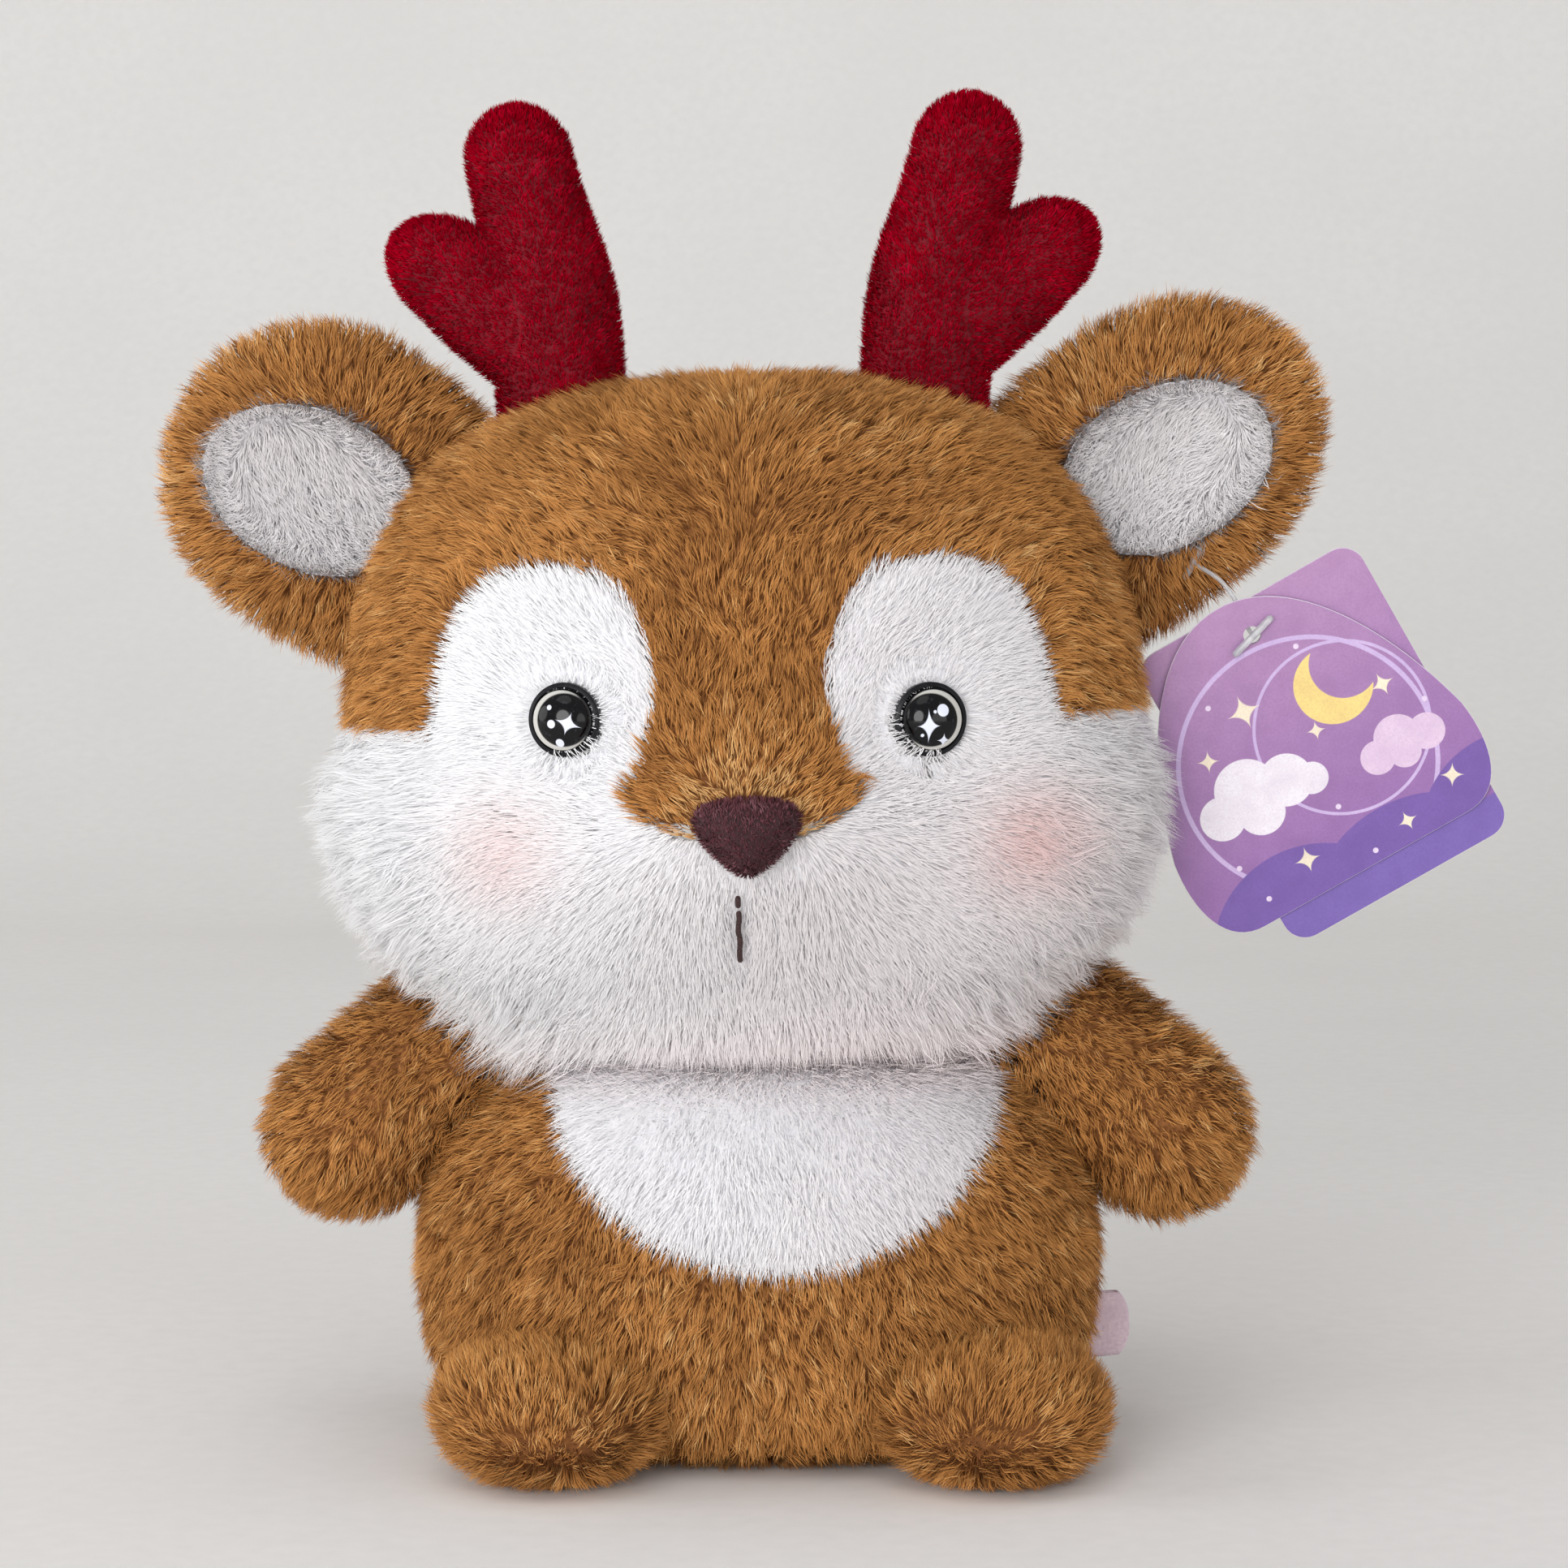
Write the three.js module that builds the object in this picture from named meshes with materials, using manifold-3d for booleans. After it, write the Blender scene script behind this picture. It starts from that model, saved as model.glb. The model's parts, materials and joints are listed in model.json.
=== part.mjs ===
// A sitting plush fawn with stuffed antlers, sewn from fur fabric over a soft filling.
// Millimetres, +Z up. The fawn faces -Y, and the origin is on the flat of its seat.
// Every soft form is a closed surface that swells and tapers. The smaller ones are cut
// by the larger ones, also at every angle that their seams let them bend to.
import * as THREE from 'three'
import { mergeVertices } from 'three/addons/utils/BufferGeometryUtils.js'
import Module from 'manifold-3d'

const wasm = await Module()
wasm.setup()

// cloth and clearances
const skin = 2.4 // fur fabric with its pile pressed down
const fit = 0.3 // between pieces that touch
const seamGap = 0.3 // between two panels sewn edge to edge
const seatCut = 0.5 // how far the filling is pressed flat where the toy stands

// trunk
const bodyWidth = 126
const bodyFront = 49
const bodyBack = 47
const bodyHeight = 79
const bodyShape = [
  [0, 0], [0.54, 0.001], [0.79, 0.042], [0.935, 0.146], [1, 0.339], [1, 0.536],
  [0.95, 0.7], [0.85, 0.825], [0.7, 0.92], [0.4, 0.985], [0, 1],
]

// head, measured from the middle of the neck
const neckAside = -1
const neckDepth = 3 // how deep the neck's middle lies below the trunk's uncut top
const neckHeight = bodyHeight - neckDepth
const neckRadius = 22
const neckPlay = 0.45 // around the neck's ball, so that it turns freely in its sockets
const headLean = 1.5 // degrees, the toy's left side stands higher
const headWidth = 152
const headForward = 3
const headFront = 55
const headBack = 52
const headHeight = 122.6
const headShape = [
  [0, 0], [0.42, 0.002], [0.61, 0.03], [0.79, 0.096], [0.935, 0.205], [1, 0.345],
  [0.975, 0.475], [0.95, 0.6], [0.89, 0.735], [0.755, 0.865], [0.55, 0.948], [0.29, 0.992], [0, 1],
]
const muzzleReach = 10
const muzzleSeams = 2.5 // how much thicker the cloth is where its seams meet there
const muzzleWide = 23
const muzzleTall = 17
const muzzleHeight = 43

// white face panel, on the seam seen from the front
const faceBack = 8 // how far behind the neck the panel's side seam lies
const cheekTop = 58
const patchOuter = 60
const patchInner = 16.5
const patchTop = 89.3
const patchWide = 36
const blazeFoot = 46
const blazeHalf = 20.5
const noseNotch = 10

// white bib
const bibAside = 3.3
const bibHalf = 43
const bibDrop = 41.8
const bibFoot = bodyHeight - bibDrop

// eyes
const eyeApart = 63.6
const eyeAside = 1
const eyeHeight = 61.9
const eyeSetOff = 0.8 // each eye's drop or rise, so the pair is level on the leaning head
const eyeTurn = 16 // degrees outward
const eyeSink = 0.8
const eyeRadius = 6.6
const eyeDome = 3.6
const eyeBackThick = 1.4
const eyeRim = 0.8
const shankRadius = 2.3
const shankLength = 11
const shankRidge = 0.35
const shankRidges = 3
const washerRadius = 6
const washerThick = 1.4
const dimpleDepth = 1.6
const dimpleWide = 10

// nose and mouth
const noseWide = 18.6
const noseTall = 13.3
const noseReach = 4.6
const noseAside = 0.5
const noseHeight = 43.1
const mouthAside = -1.4
const mouthTop = 31.1
const mouthLength = 11.4
const threadRadius = 0.55

// ears, measured from the middle of the neck
const earOutside = 3.5 // how far the ear's middle lies beyond the head's widest place
const earOut = headWidth / 2 + earOutside
const earUp = 106.5
const earBehind = 9
const earRise = 36 // degrees, how far the ear's long axis points up
const earHalfWide = { right: 28.2, left: 26.2 } // the right ear is sewn rounder than the left
const earTip = { right: 28.4, left: 32.8 }
const earRoot = 28
const earRootHalf = 25
const earThick = 19
const dishTurn = -11 // degrees from the ear's long axis
const dishHalfWide = 15.6
const dishDrop = 2.2
const dishTip = 21.5
const dishRoot = 24
const dishDepth = 8.2
const liningThick = 3
const earBend = 20 // degrees either way

// antlers, measured from the middle of the neck
const antlerAside = 1.3
const antlerTilt = 1.5 // degrees toward the toy's left
const antlerInside = 40.8 // how far the root lies inside the head's widest place
const antlerOut = headWidth / 2 - antlerInside
const antlerSpread = 6.6
const antlerTopOut = antlerOut + antlerSpread
const antlerRise = 42.4 // from the head's crown
const antlerTop = headHeight + antlerRise
const antlerHalfBase = 11.8
const antlerHalfTop = 9.6
const antlerThick = 17
const tineStart = 3.8 // from the root outward
const tineFromOut = antlerOut + tineStart
const tineFrom = headHeight + 9.9
const tineReach = 23.6 // from the root outward
const tineOut = antlerOut + tineReach
const tineUp = headHeight + 24.4
const tineHalfRoot = 12.5
const tineHalf = 7.4
const antlerBend = 15 // degrees either way

// arms
const armShoulderOut = 47
const armShoulderDrop = 1
const armShoulderUp = bodyHeight - armShoulderDrop
const armOut = 73.8
const armDrop = 20
const armUp = bodyHeight - armDrop
const armForward = 6
const armHalfShoulder = 15
const armHalfMiddle = 18.2
const armHalfPaw = 16.9
const armThick = 31
const armSwing = 25 // degrees either way

// feet
const footApart = 79.5
const footAside = 2.5 // both feet lie a little to the toy's left
const footBackY = -8
const footToeY = -62
const footHalfWide = 20.8
const footTall = 26
const footLift = 15 // degrees
const ankleY = -24
const ankleUp = 10

// tail
const tailUp = 24
const tailLength = 28
const tailHalfWide = 10
const tailThick = 15
const tailRise = 35 // degrees
const tailWag = 15 // degrees either way

// neck joint
const headTurn = 12 // degrees either way
const headNod = 6 // degrees either way

// hang tag: a round leaf over a rounded oblong one, on one clear fastener
const tagOutside = 19.5 // how far the tag's hole lies beyond the head's widest place
const tagX = headWidth / 2 + tagOutside
const tagY = -2.5
const tagZ = 72.6 // measured from the middle of the neck
const tagRoll = 29 // degrees
const tagLeanBack = 8 // degrees
const cardThick = 0.45
const cardGap = 0.5
const tagHole = 1.7
const frontLeafHalf = 31
const frontLeafAside = -3.3
const frontLeafTop = 7.7
const frontLeafWaist = -31.3
const frontLeafHeel = -41.3
const frontLeafFoot = -50.3
const backLeafWide = 47
const backLeafAside = 1.4
const backLeafTop = 6.3
const backLeafFoot = -57
const cardCorner = 4.5
const filamentRadius = 0.45
const barRadius = 0.7
const barLength = 10

// care label: a folded ribbon with nothing printed on it
const labelOut = 17
const labelWide = 13
const labelPly = 0.5
const labelLoop = 2.6
const labelUp = 15.8
const labelRound = 18 // degrees behind the toy's side
const labelSwing = 30 // degrees either way

// how finely the large forms are faceted: rings from the foot up, and sides around
const trunkFacets = [9, 24]
const skullFacets = [13, 28]
const trunkInnerFacets = [6, 14]
const skullInnerFacets = [10, 20]
const ballFacets = [20, 12]

const deg = THREE.MathUtils.degToRad
const { Vector2, Vector3, Matrix4 } = THREE

// a closed surface through rings of equal length, from one end point to the other
function closedSurface(rings, start, end) {
  const points = [start, ...rings.flat(), end]
  const around = rings[0].length
  const last = points.length - 1
  const faces = []
  for (let k = 0; k < around; k++) {
    const n = (k + 1) % around
    faces.push(0, 1 + n, 1 + k)
    for (let r = 0; r < rings.length - 1; r++) {
      const a = 1 + r * around
      const b = a + around
      faces.push(a + k, a + n, b + n, a + k, b + n, b + k)
    }
    faces.push(last, last - around + k, last - around + n)
  }
  const geometry = new THREE.BufferGeometry()
  const places = points.flatMap((p) => [p.x, p.y, p.z])
  geometry.setAttribute('position', new THREE.Float32BufferAttribute(places, 3))
  geometry.setIndex(faces)
  return facingOut(geometry)
}

// twice turned faces would make a solid inside out, so its volume decides
function facingOut(geometry) {
  const p = geometry.attributes.position
  const index = geometry.index.array
  const [a, b, c] = [new Vector3(), new Vector3(), new Vector3()]
  let volume = 0
  for (let i = 0; i < index.length; i += 3) {
    a.fromBufferAttribute(p, index[i])
    b.fromBufferAttribute(p, index[i + 1])
    c.fromBufferAttribute(p, index[i + 2])
    volume += a.dot(b.cross(c))
  }
  if (volume < 0) {
    for (let i = 0; i < index.length; i += 3) {
      [index[i], index[i + 1]] = [index[i + 1], index[i]]
    }
  }
  return geometry
}

function solid(geometry, ...places) {
  let shape = geometry.clone()
  shape.deleteAttribute('normal')
  shape.deleteAttribute('uv')
  for (const place of places) shape.applyMatrix4(place)
  shape = mergeVertices(shape, 1e-5)
  facingOut(shape)
  return new wasm.Manifold(
    new wasm.Mesh({
      numProp: 3,
      vertProperties: new Float32Array(shape.attributes.position.array),
      triVerts: new Uint32Array(shape.index.array),
    }),
  )
}

function geometryOf(shape) {
  const mesh = shape.getMesh()
  const geometry = new THREE.BufferGeometry()
  geometry.setAttribute('position', new THREE.BufferAttribute(mesh.vertProperties, 3))
  geometry.setIndex(new THREE.BufferAttribute(mesh.triVerts, 1))
  return geometry
}

const joined = (shapes) => shapes.reduce((whole, shape) => whole.add(shape))
const cut = (shape, tools) => tools.reduce((left, tool) => left.subtract(tool), shape)

// angles from one limit to the other, about a step apart
function anglesBetween(low, high, step = 5) {
  const count = Math.max(1, Math.ceil((high - low) / step))
  return Array.from({ length: count + 1 }, (_, i) => low + ((high - low) * i) / count)
}

function turnAbout(point, axis, degrees) {
  return new Matrix4()
    .makeTranslation(point)
    .multiply(new Matrix4().makeRotationAxis(axis, deg(degrees)))
    .multiply(new Matrix4().makeTranslation(point.clone().negate()))
}

// what a carrier sweeps, seen from a piece that turns about an axis on it
const sweptPast = (geometry, point, axis, angles) =>
  angles.map((angle) => solid(geometry, turnAbout(point, axis, -angle)))

// the half width of a spun or swollen form at a height, from the shares in its shape
function halfWidthAt(shape, width, height, z) {
  const corners = shape.map(([w, h]) => new Vector2((w * width) / 2, h * height))
  const line = new THREE.SplineCurve(corners).getPoints(120)
  const i = line.findIndex((p) => p.y >= z)
  if (i <= 0) return 0
  const t = (z - line[i - 1].y) / (line[i].y - line[i - 1].y)
  return THREE.MathUtils.lerp(line[i - 1].x, line[i].x, t)
}

// Ring by ring from the foot to the crown: each ring is a rounded oblong with its own
// width, and with a front and a back depth in proportion to it. Bumps push the front
// forward or, as dimples, back.
const ringPower = 2.2

function swollen({ width, front, back, height, shape, bumps = [] }, grow, rings, sides) {
  const line = new THREE.SplineCurve(shape.map(([w, h]) => new Vector2(w, h))).getSpacedPoints(rings + 1)
  const place = (share, angle, z) => {
    const squared = (v) => Math.sign(v) * Math.abs(v) ** (2 / ringPower)
    const x = share * (width / 2 + grow) * squared(Math.cos(angle))
    const side = squared(Math.sin(angle))
    const y = side * share * ((side < 0 ? front : back) + grow)
    return new Vector3(x, y - push(bumps, x, z) * (y < 0 ? Math.min(1, -y / 12) : 0), z)
  }
  const high = (share) => share * (height + 2 * grow) - grow
  const loops = line.slice(1, -1).map((p) =>
    Array.from({ length: sides }, (_, k) => place(p.x, (2 * Math.PI * k) / sides, high(p.y))),
  )
  return closedSurface(loops, new Vector3(0, 0, high(0)), new Vector3(0, 0, high(1)))
}

const push = (bumps, x, z) =>
  bumps.reduce((sum, b) => {
    const away = ((x - b.x) / b.wide) ** 2 + ((z - b.z) / b.tall) ** 2
    return sum + b.reach * Math.exp(-away)
  }, 0)

// how far forward a swollen form's front reaches at a point seen from the front
function frontOf({ width, front, height, shape, bumps = [] }, x, z) {
  const half = halfWidthAt(shape, width, height, z)
  const deep = (half * front) / (width / 2)
  const y = deep * Math.max(0, 1 - Math.abs(x / half) ** ringPower) ** (1 / ringPower)
  return -y - push(bumps, x, z) * Math.min(1, y / 12)
}

// A stuffed limb along a spine, from one rounded end to the other. Sizes are half widths
// and half thicknesses in turn along it, and thick is the way that it is thick.
function limb({ spine, sizes, thick, steps = 9, sides = 12 }) {
  const path = new THREE.CatmullRomCurve3(spine)
  const size = new THREE.CatmullRomCurve3(sizes.map(([w, t]) => new Vector3(w, t, 0)))
  const length = path.getLength()
  const rings = []
  for (let k = 1; k < steps; k++) {
    const t = (1 - Math.cos((Math.PI * k) / steps)) / 2
    const along = path.getTangentAt(t)
    const { x: half, y: deep } = size.getPoint(t)
    const nearEnd = Math.min(t, 1 - t) * length
    const round = Math.sqrt(1 - (1 - Math.min(1, nearEnd / half)) ** 2)
    const wide = new Vector3().crossVectors(along, thick).normalize()
    const up = new Vector3().crossVectors(wide, along)
    rings.push(Array.from({ length: sides }, (_, i) => {
      const a = (2 * Math.PI * i) / sides
      return path.getPointAt(t)
        .addScaledVector(wide, round * half * Math.cos(a))
        .addScaledVector(up, round * deep * Math.sin(a))
    }))
  }
  return closedSurface(rings, spine[0], spine[spine.length - 1])
}

// A flat pad that swells to both sides of its outline, which lies in a plane of X and Z.
function pad(outline, frontReach, backReach, levels = 3) {
  const ring = (turn) => outline.map((p) => {
    const reach = turn < 0 ? frontReach : backReach
    return new Vector3(p.x * Math.cos(turn), reach * Math.sin(turn), p.y * Math.cos(turn))
  })
  const turns = anglesBetween(-90, 90, 90 / levels).slice(1, -1).map(deg)
  return closedSurface(turns.map(ring), new Vector3(0, -frontReach, 0), new Vector3(0, backReach, 0))
}

// a straight prism on an outline seen from the front, between two depths
function prism(outline, from, to) {
  const shape = new THREE.Shape(outline)
  const geometry = new THREE.ExtrudeGeometry(shape, { depth: to - from, bevelEnabled: false })
  return geometry.rotateX(Math.PI / 2).translate(0, to, 0)
}

// an outline moved outward by a gap all round
function widened(outline, gap) {
  const turning = THREE.ShapeUtils.isClockWise(outline) ? -1 : 1
  return outline.map((p, i) => {
    const before = outline[(i + outline.length - 1) % outline.length]
    const after = outline[(i + 1) % outline.length]
    const along = after.clone().sub(before).normalize()
    return new Vector2(p.x + gap * turning * along.y, p.y - gap * turning * along.x)
  })
}

const mirrored = (points) => points.map((p) => new Vector2(-p.x, p.y)).reverse()
const sideOf = (side, x, y, z) => new Vector3(side * x, y, z)
const box = (size, centre) => new THREE.BoxGeometry(...size).translate(...centre)

// trunk and head forms

const trunk = {
  width: bodyWidth, front: bodyFront, back: bodyBack, height: bodyHeight + seatCut, shape: bodyShape,
}
const eyeBumps = [-1, 1].map((side) => ({
  x: eyeAside + (side * eyeApart) / 2, z: eyeHeight,
  reach: -dimpleDepth, wide: dimpleWide, tall: dimpleWide,
}))
const muzzleBump = { x: 0, z: muzzleHeight, reach: muzzleReach, wide: muzzleWide, tall: muzzleTall }
const skull = {
  width: headWidth, front: headFront, back: headBack, height: headHeight, shape: headShape,
  bumps: [muzzleBump, ...eyeBumps],
}
const muzzleWithin = { ...muzzleBump, reach: muzzleReach - muzzleSeams }
const skullWithin = { ...skull, bumps: [muzzleWithin, ...eyeBumps] }
const trunkAt = new Matrix4().makeTranslation(0, 0, -seatCut)
const skullAt = new Matrix4().makeTranslation(0, -headForward, 0)
const trunkForm = (grow) => swollen(trunk, grow, ...trunkFacets).applyMatrix4(trunkAt)
const skullForm = (grow) => swollen(skull, grow, ...skullFacets).applyMatrix4(skullAt)
const trunkLining = (grow) => swollen(trunk, grow, ...trunkInnerFacets).applyMatrix4(trunkAt)
const skullLining = (grow) => swollen(skullWithin, grow, ...skullInnerFacets).applyMatrix4(skullAt)
const faceY = (x, z) => frontOf(skull, x, z) - headForward

// the head's place on the trunk, leaning, then nodding and turning on the neck
const headPlace = (turn = 0, nod = 0) =>
  new Matrix4()
    .makeTranslation(neckAside, 0, neckHeight)
    .multiply(new Matrix4().makeRotationZ(deg(turn)))
    .multiply(new Matrix4().makeRotationX(deg(nod)))
    .multiply(new Matrix4().makeRotationY(deg(-headLean)))

const headPoses = anglesBetween(-headTurn, headTurn, headTurn).flatMap((turn) =>
  anglesBetween(-headNod, headNod, headNod).map((nod) => headPlace(turn, nod)),
)
const headReach = joined(headPoses.map((place) => solid(skullForm(2 * fit), place)))

const neckBallForm = (grow) =>
  new THREE.SphereGeometry(neckRadius + grow, ...ballFacets).rotateX(Math.PI / 2)
const underFloor = solid(box([4 * bodyWidth, 4 * bodyWidth, bodyHeight], [0, 0, -bodyHeight / 2]))

// white panels, as seams seen from the front

function faceOutline() {
  const right = new THREE.Path()
  right.moveTo(noseNotch, blazeFoot - 4)
  const patchMiddle = patchInner + patchWide / 2
  const patchEdge = patchInner + patchWide
  right.bezierCurveTo(noseNotch + 4, blazeFoot - 2, blazeHalf - 2, blazeFoot - 1, blazeHalf, blazeFoot + 3)
  right.bezierCurveTo(blazeHalf - 3, cheekTop, patchInner - 2, patchTop - 22, patchInner, patchTop - 16)
  right.bezierCurveTo(patchInner + 3, patchTop - 6, patchInner + 7, patchTop, patchMiddle, patchTop)
  right.bezierCurveTo(patchEdge, patchTop, patchOuter - 7, cheekTop + 14, patchOuter - 4, cheekTop)
  right.lineTo(headWidth, cheekTop)
  right.lineTo(headWidth, -headHeight)
  const half = right.getPoints(5)
  return [...half, ...mirrored(half)]
}

function bibOutline() {
  const right = new THREE.Path()
  right.moveTo(0, bibFoot)
  right.bezierCurveTo(bibHalf * 0.53, bibFoot + 1, bibHalf, bibFoot + 13, bibHalf, bodyHeight - 2)
  right.lineTo(bibHalf, bodyHeight * 2)
  const half = right.getPoints(8)
  return [...half, ...mirrored(half.slice(1))].map((p) => new Vector2(p.x + bibAside, p.y))
}

const facePrism = (gap) => solid(prism(widened(faceOutline(), gap), -headWidth, faceBack + gap))
const bibPrism = (gap) => solid(prism(widened(bibOutline(), gap), -bodyWidth, gap))

// pieces on the trunk

const seatedTrunk = solid(trunkForm(0)).subtract(underFloor).subtract(headReach)
const neckSocket = (place) => solid(neckBallForm(neckPlay), place)
const trunkCore = solid(trunkLining(-skin))
  .subtract(solid(box([2 * bodyWidth, 2 * bodyWidth, bodyHeight], [0, 0, skin - bodyHeight / 2])))

function bodySkin() {
  return cut(seatedTrunk, [trunkCore, bibPrism(seamGap), neckSocket(headPlace())])
}

function bib() {
  return cut(seatedTrunk, [trunkCore, neckSocket(headPlace())]).intersect(bibPrism(0))
}

function bodyStuffing() {
  const inner = solid(trunkLining(-skin - fit))
  const floor = solid(box([2 * bodyWidth, 2 * bodyWidth, bodyHeight], [0, 0, skin + fit - bodyHeight / 2]))
  return cut(inner, [floor, neckSocket(headPlace()), headReach])
}

const shoulder = (side) => sideOf(side, armShoulderOut, 0, armShoulderUp)
const xAxis = new Vector3(1, 0, 0)
const zAxis = new Vector3(0, 0, 1)

function arm(side) {
  const middle = [(armShoulderOut + armOut) / 2, -armForward / 2, (armShoulderUp + armUp) / 2 + 2]
  const reach = new Vector3(armOut - armShoulderOut, 0, armUp - armShoulderUp).normalize()
  const tip = new Vector3(armOut, -armForward, armUp).addScaledVector(reach, armHalfPaw)
  const root = new Vector3(armShoulderOut, 0, armShoulderUp).addScaledVector(reach, -armHalfShoulder)
  const form = limb({
    spine: [root, new Vector3(...middle), tip].map((p) => sideOf(side, p.x, p.y, p.z)),
    sizes: [
      [armHalfShoulder, armThick / 2 - 3], [armHalfMiddle, armThick / 2], [armHalfPaw, armThick / 2],
      [armHalfPaw, armThick / 2],
    ],
    thick: new Vector3(0, 1, 0),
  })
  const angles = anglesBetween(-armSwing, armSwing, armSwing / 3)
  const pastTrunk = sweptPast(trunkForm(fit), shoulder(side), xAxis, angles)
  const pastHead = angles.map((angle) =>
    solid(geometryOf(headReach), turnAbout(shoulder(side), xAxis, -angle)),
  )
  return cut(solid(form), [...pastTrunk, ...pastHead])
}

const footX = (side) => footAside + (side * footApart) / 2
const ankle = (side) => new Vector3(footX(side), ankleY, ankleUp)

function foot(side) {
  const x = footX(side)
  const up = footTall / 2 - seatCut
  const form = limb({
    spine: [
      new Vector3(x, footBackY, up - 1), new Vector3(x, (footBackY + footToeY) / 2, up),
      new Vector3(x, footToeY, up - 1),
    ],
    sizes: [
      [footHalfWide - 4, footTall / 2 - 2], [footHalfWide, footTall / 2], [footHalfWide, footTall / 2],
      [footHalfWide - 1, footTall / 2 - 1],
    ],
    thick: zAxis,
  })
  const angles = anglesBetween(0, footLift, 5)
  const pastTrunk = sweptPast(trunkForm(fit), ankle(side), xAxis.clone().negate(), angles)
  return cut(solid(form), [underFloor, ...pastTrunk])
}

const tailRootY = bodyBack * 0.93
const tailPin = new Vector3(0, tailRootY, tailUp)

function tail() {
  const along = new Vector3(0, Math.cos(deg(tailRise)), Math.sin(deg(tailRise)))
  const root = tailPin.clone().addScaledVector(along, -tailLength * 0.45)
  const tip = tailPin.clone().addScaledVector(along, tailLength * 0.75)
  const middle = root.clone().lerp(tip, 0.5)
  const form = limb({
    spine: [root, middle, tip],
    sizes: [
      [tailHalfWide * 0.7, tailThick * 0.4], [tailHalfWide, tailThick / 2],
      [tailHalfWide * 0.8, tailThick * 0.4],
    ],
    thick: new Vector3(0, -along.z, along.y),
    steps: 7,
  })
  return cut(solid(form), sweptPast(trunkForm(fit), tailPin, zAxis, anglesBetween(-tailWag, tailWag, 7.5)))
}

// where the ribbon leaves the trunk's side seam, and the way that it points
const labelWay = new Vector3(Math.cos(deg(labelRound)), Math.sin(deg(labelRound)), 0)
const labelHalf = halfWidthAt(bodyShape, bodyWidth, bodyHeight, labelUp)
const labelRootOut = labelHalf * (1 - (1 - bodyBack / (bodyWidth / 2)) * Math.sin(deg(labelRound)) ** 2)
const labelPin = labelWay.clone().multiplyScalar(labelRootOut).setZ(labelUp)

function careLabel() {
  const outer = labelLoop / 2
  const inner = outer - labelPly
  const loopAt = labelOut - outer
  const shape = new THREE.Shape()
  shape.moveTo(-3, -labelPly)
  shape.lineTo(loopAt * 0.5, -labelPly - 0.1)
  shape.lineTo(loopAt, -outer)
  shape.absarc(loopAt, 0, outer, -Math.PI / 2, Math.PI / 2, false)
  shape.lineTo(loopAt * 0.5, labelPly + 0.1)
  shape.lineTo(-3, labelPly)
  shape.lineTo(-3, 0.02)
  shape.lineTo(loopAt * 0.45, 0.02)
  shape.absarc(loopAt, 0, inner, Math.PI / 2 + 0.6, -Math.PI / 2 - 0.6, true)
  shape.lineTo(loopAt * 0.45, -0.02)
  shape.lineTo(-3, -0.02)
  const extruded = { depth: labelWide, bevelEnabled: false, curveSegments: 6 }
  const ribbon = new THREE.ExtrudeGeometry(shape, extruded)
  ribbon.translate(0, 0, -labelWide / 2).rotateZ(deg(labelRound))
  ribbon.translate(labelPin.x, labelPin.y, labelPin.z)
  const angles = anglesBetween(-labelSwing, labelSwing, 15)
  return cut(solid(ribbon), sweptPast(trunkForm(fit), labelPin, zAxis, angles))
}

// pieces on the head, in the head's own frame

const nodeless = new Matrix4()
const skullSolid = solid(skullForm(0))
const skullCore = solid(skullLining(-skin))
const headSocket = solid(neckBallForm(neckPlay), nodeless)

const eyeSeat = (side) => {
  const x = eyeAside + (side * eyeApart) / 2
  const z = eyeHeight - side * eyeSetOff
  return new Matrix4()
    .makeTranslation(x, faceY(x, z) + eyeSink, z)
    .multiply(new Matrix4().makeRotationZ(deg(side * eyeTurn)))
    .multiply(new Matrix4().makeRotationX(Math.PI / 2))
}

// profiles of the eye's turned pieces, about the shank's axis, with the face at height 0
const lathe = (points, segments = 20) =>
  new THREE.LatheGeometry(points.map(([r, h]) => new Vector2(r, h)), segments).rotateX(Math.PI / 2)

function eyeBackProfile() {
  const steps = []
  const pitch = shankLength / (2 * shankRidges + 1)
  for (let i = 0; i < shankRidges; i++) {
    const h = -pitch * (2 * i + 1)
    steps.push([shankRadius, h], [shankRadius + shankRidge, h - pitch * 0.5], [shankRadius, h - pitch])
  }
  return [
    [0, eyeBackThick], [eyeRadius - eyeRim, eyeBackThick], [eyeRadius - eyeRim, eyeBackThick + eyeRim],
    [eyeRadius, eyeBackThick + eyeRim * 0.6], [eyeRadius, 0.5], [eyeRadius - 1.2, 0], [shankRadius, 0],
    ...steps, [shankRadius - 0.6, -shankLength], [0, -shankLength],
  ].reverse()
}

function eyeDomeProfile() {
  const radius = eyeRadius - eyeRim - fit
  const foot = eyeBackThick + fit
  const arc = anglesBetween(0, 90, 15).map(deg)
  return [[0, foot], ...arc.map((a) => [radius * Math.cos(a), foot + 0.4 + eyeDome * Math.sin(a)])]
}

const shankBore = shankRadius + shankRidge + fit
const shankHole = (side) => {
  const pin = new THREE.CylinderGeometry(shankBore, shankBore, 4 * shankLength, 20)
  return solid(pin.rotateX(Math.PI / 2), eyeSeat(side))
}

// The cloth is pinched between the eye in front and the washer behind.
const washerTop = eyeSink - skin - fit
const washerFoot = washerTop - washerThick

const washer = () =>
  lathe([
    [shankBore, washerFoot], [washerRadius, washerFoot], [washerRadius, washerTop],
    [shankBore, washerTop], [shankBore, washerFoot],
  ])

// a round pocket on an eye's axis, between two distances from the eye's seat
function eyePocket(side, radius, from, to) {
  const disc = new THREE.CylinderGeometry(radius + fit, radius + fit, to - from, 20)
  return solid(disc.rotateX(Math.PI / 2).translate(0, 0, (from + to) / 2), eyeSeat(side))
}

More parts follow.
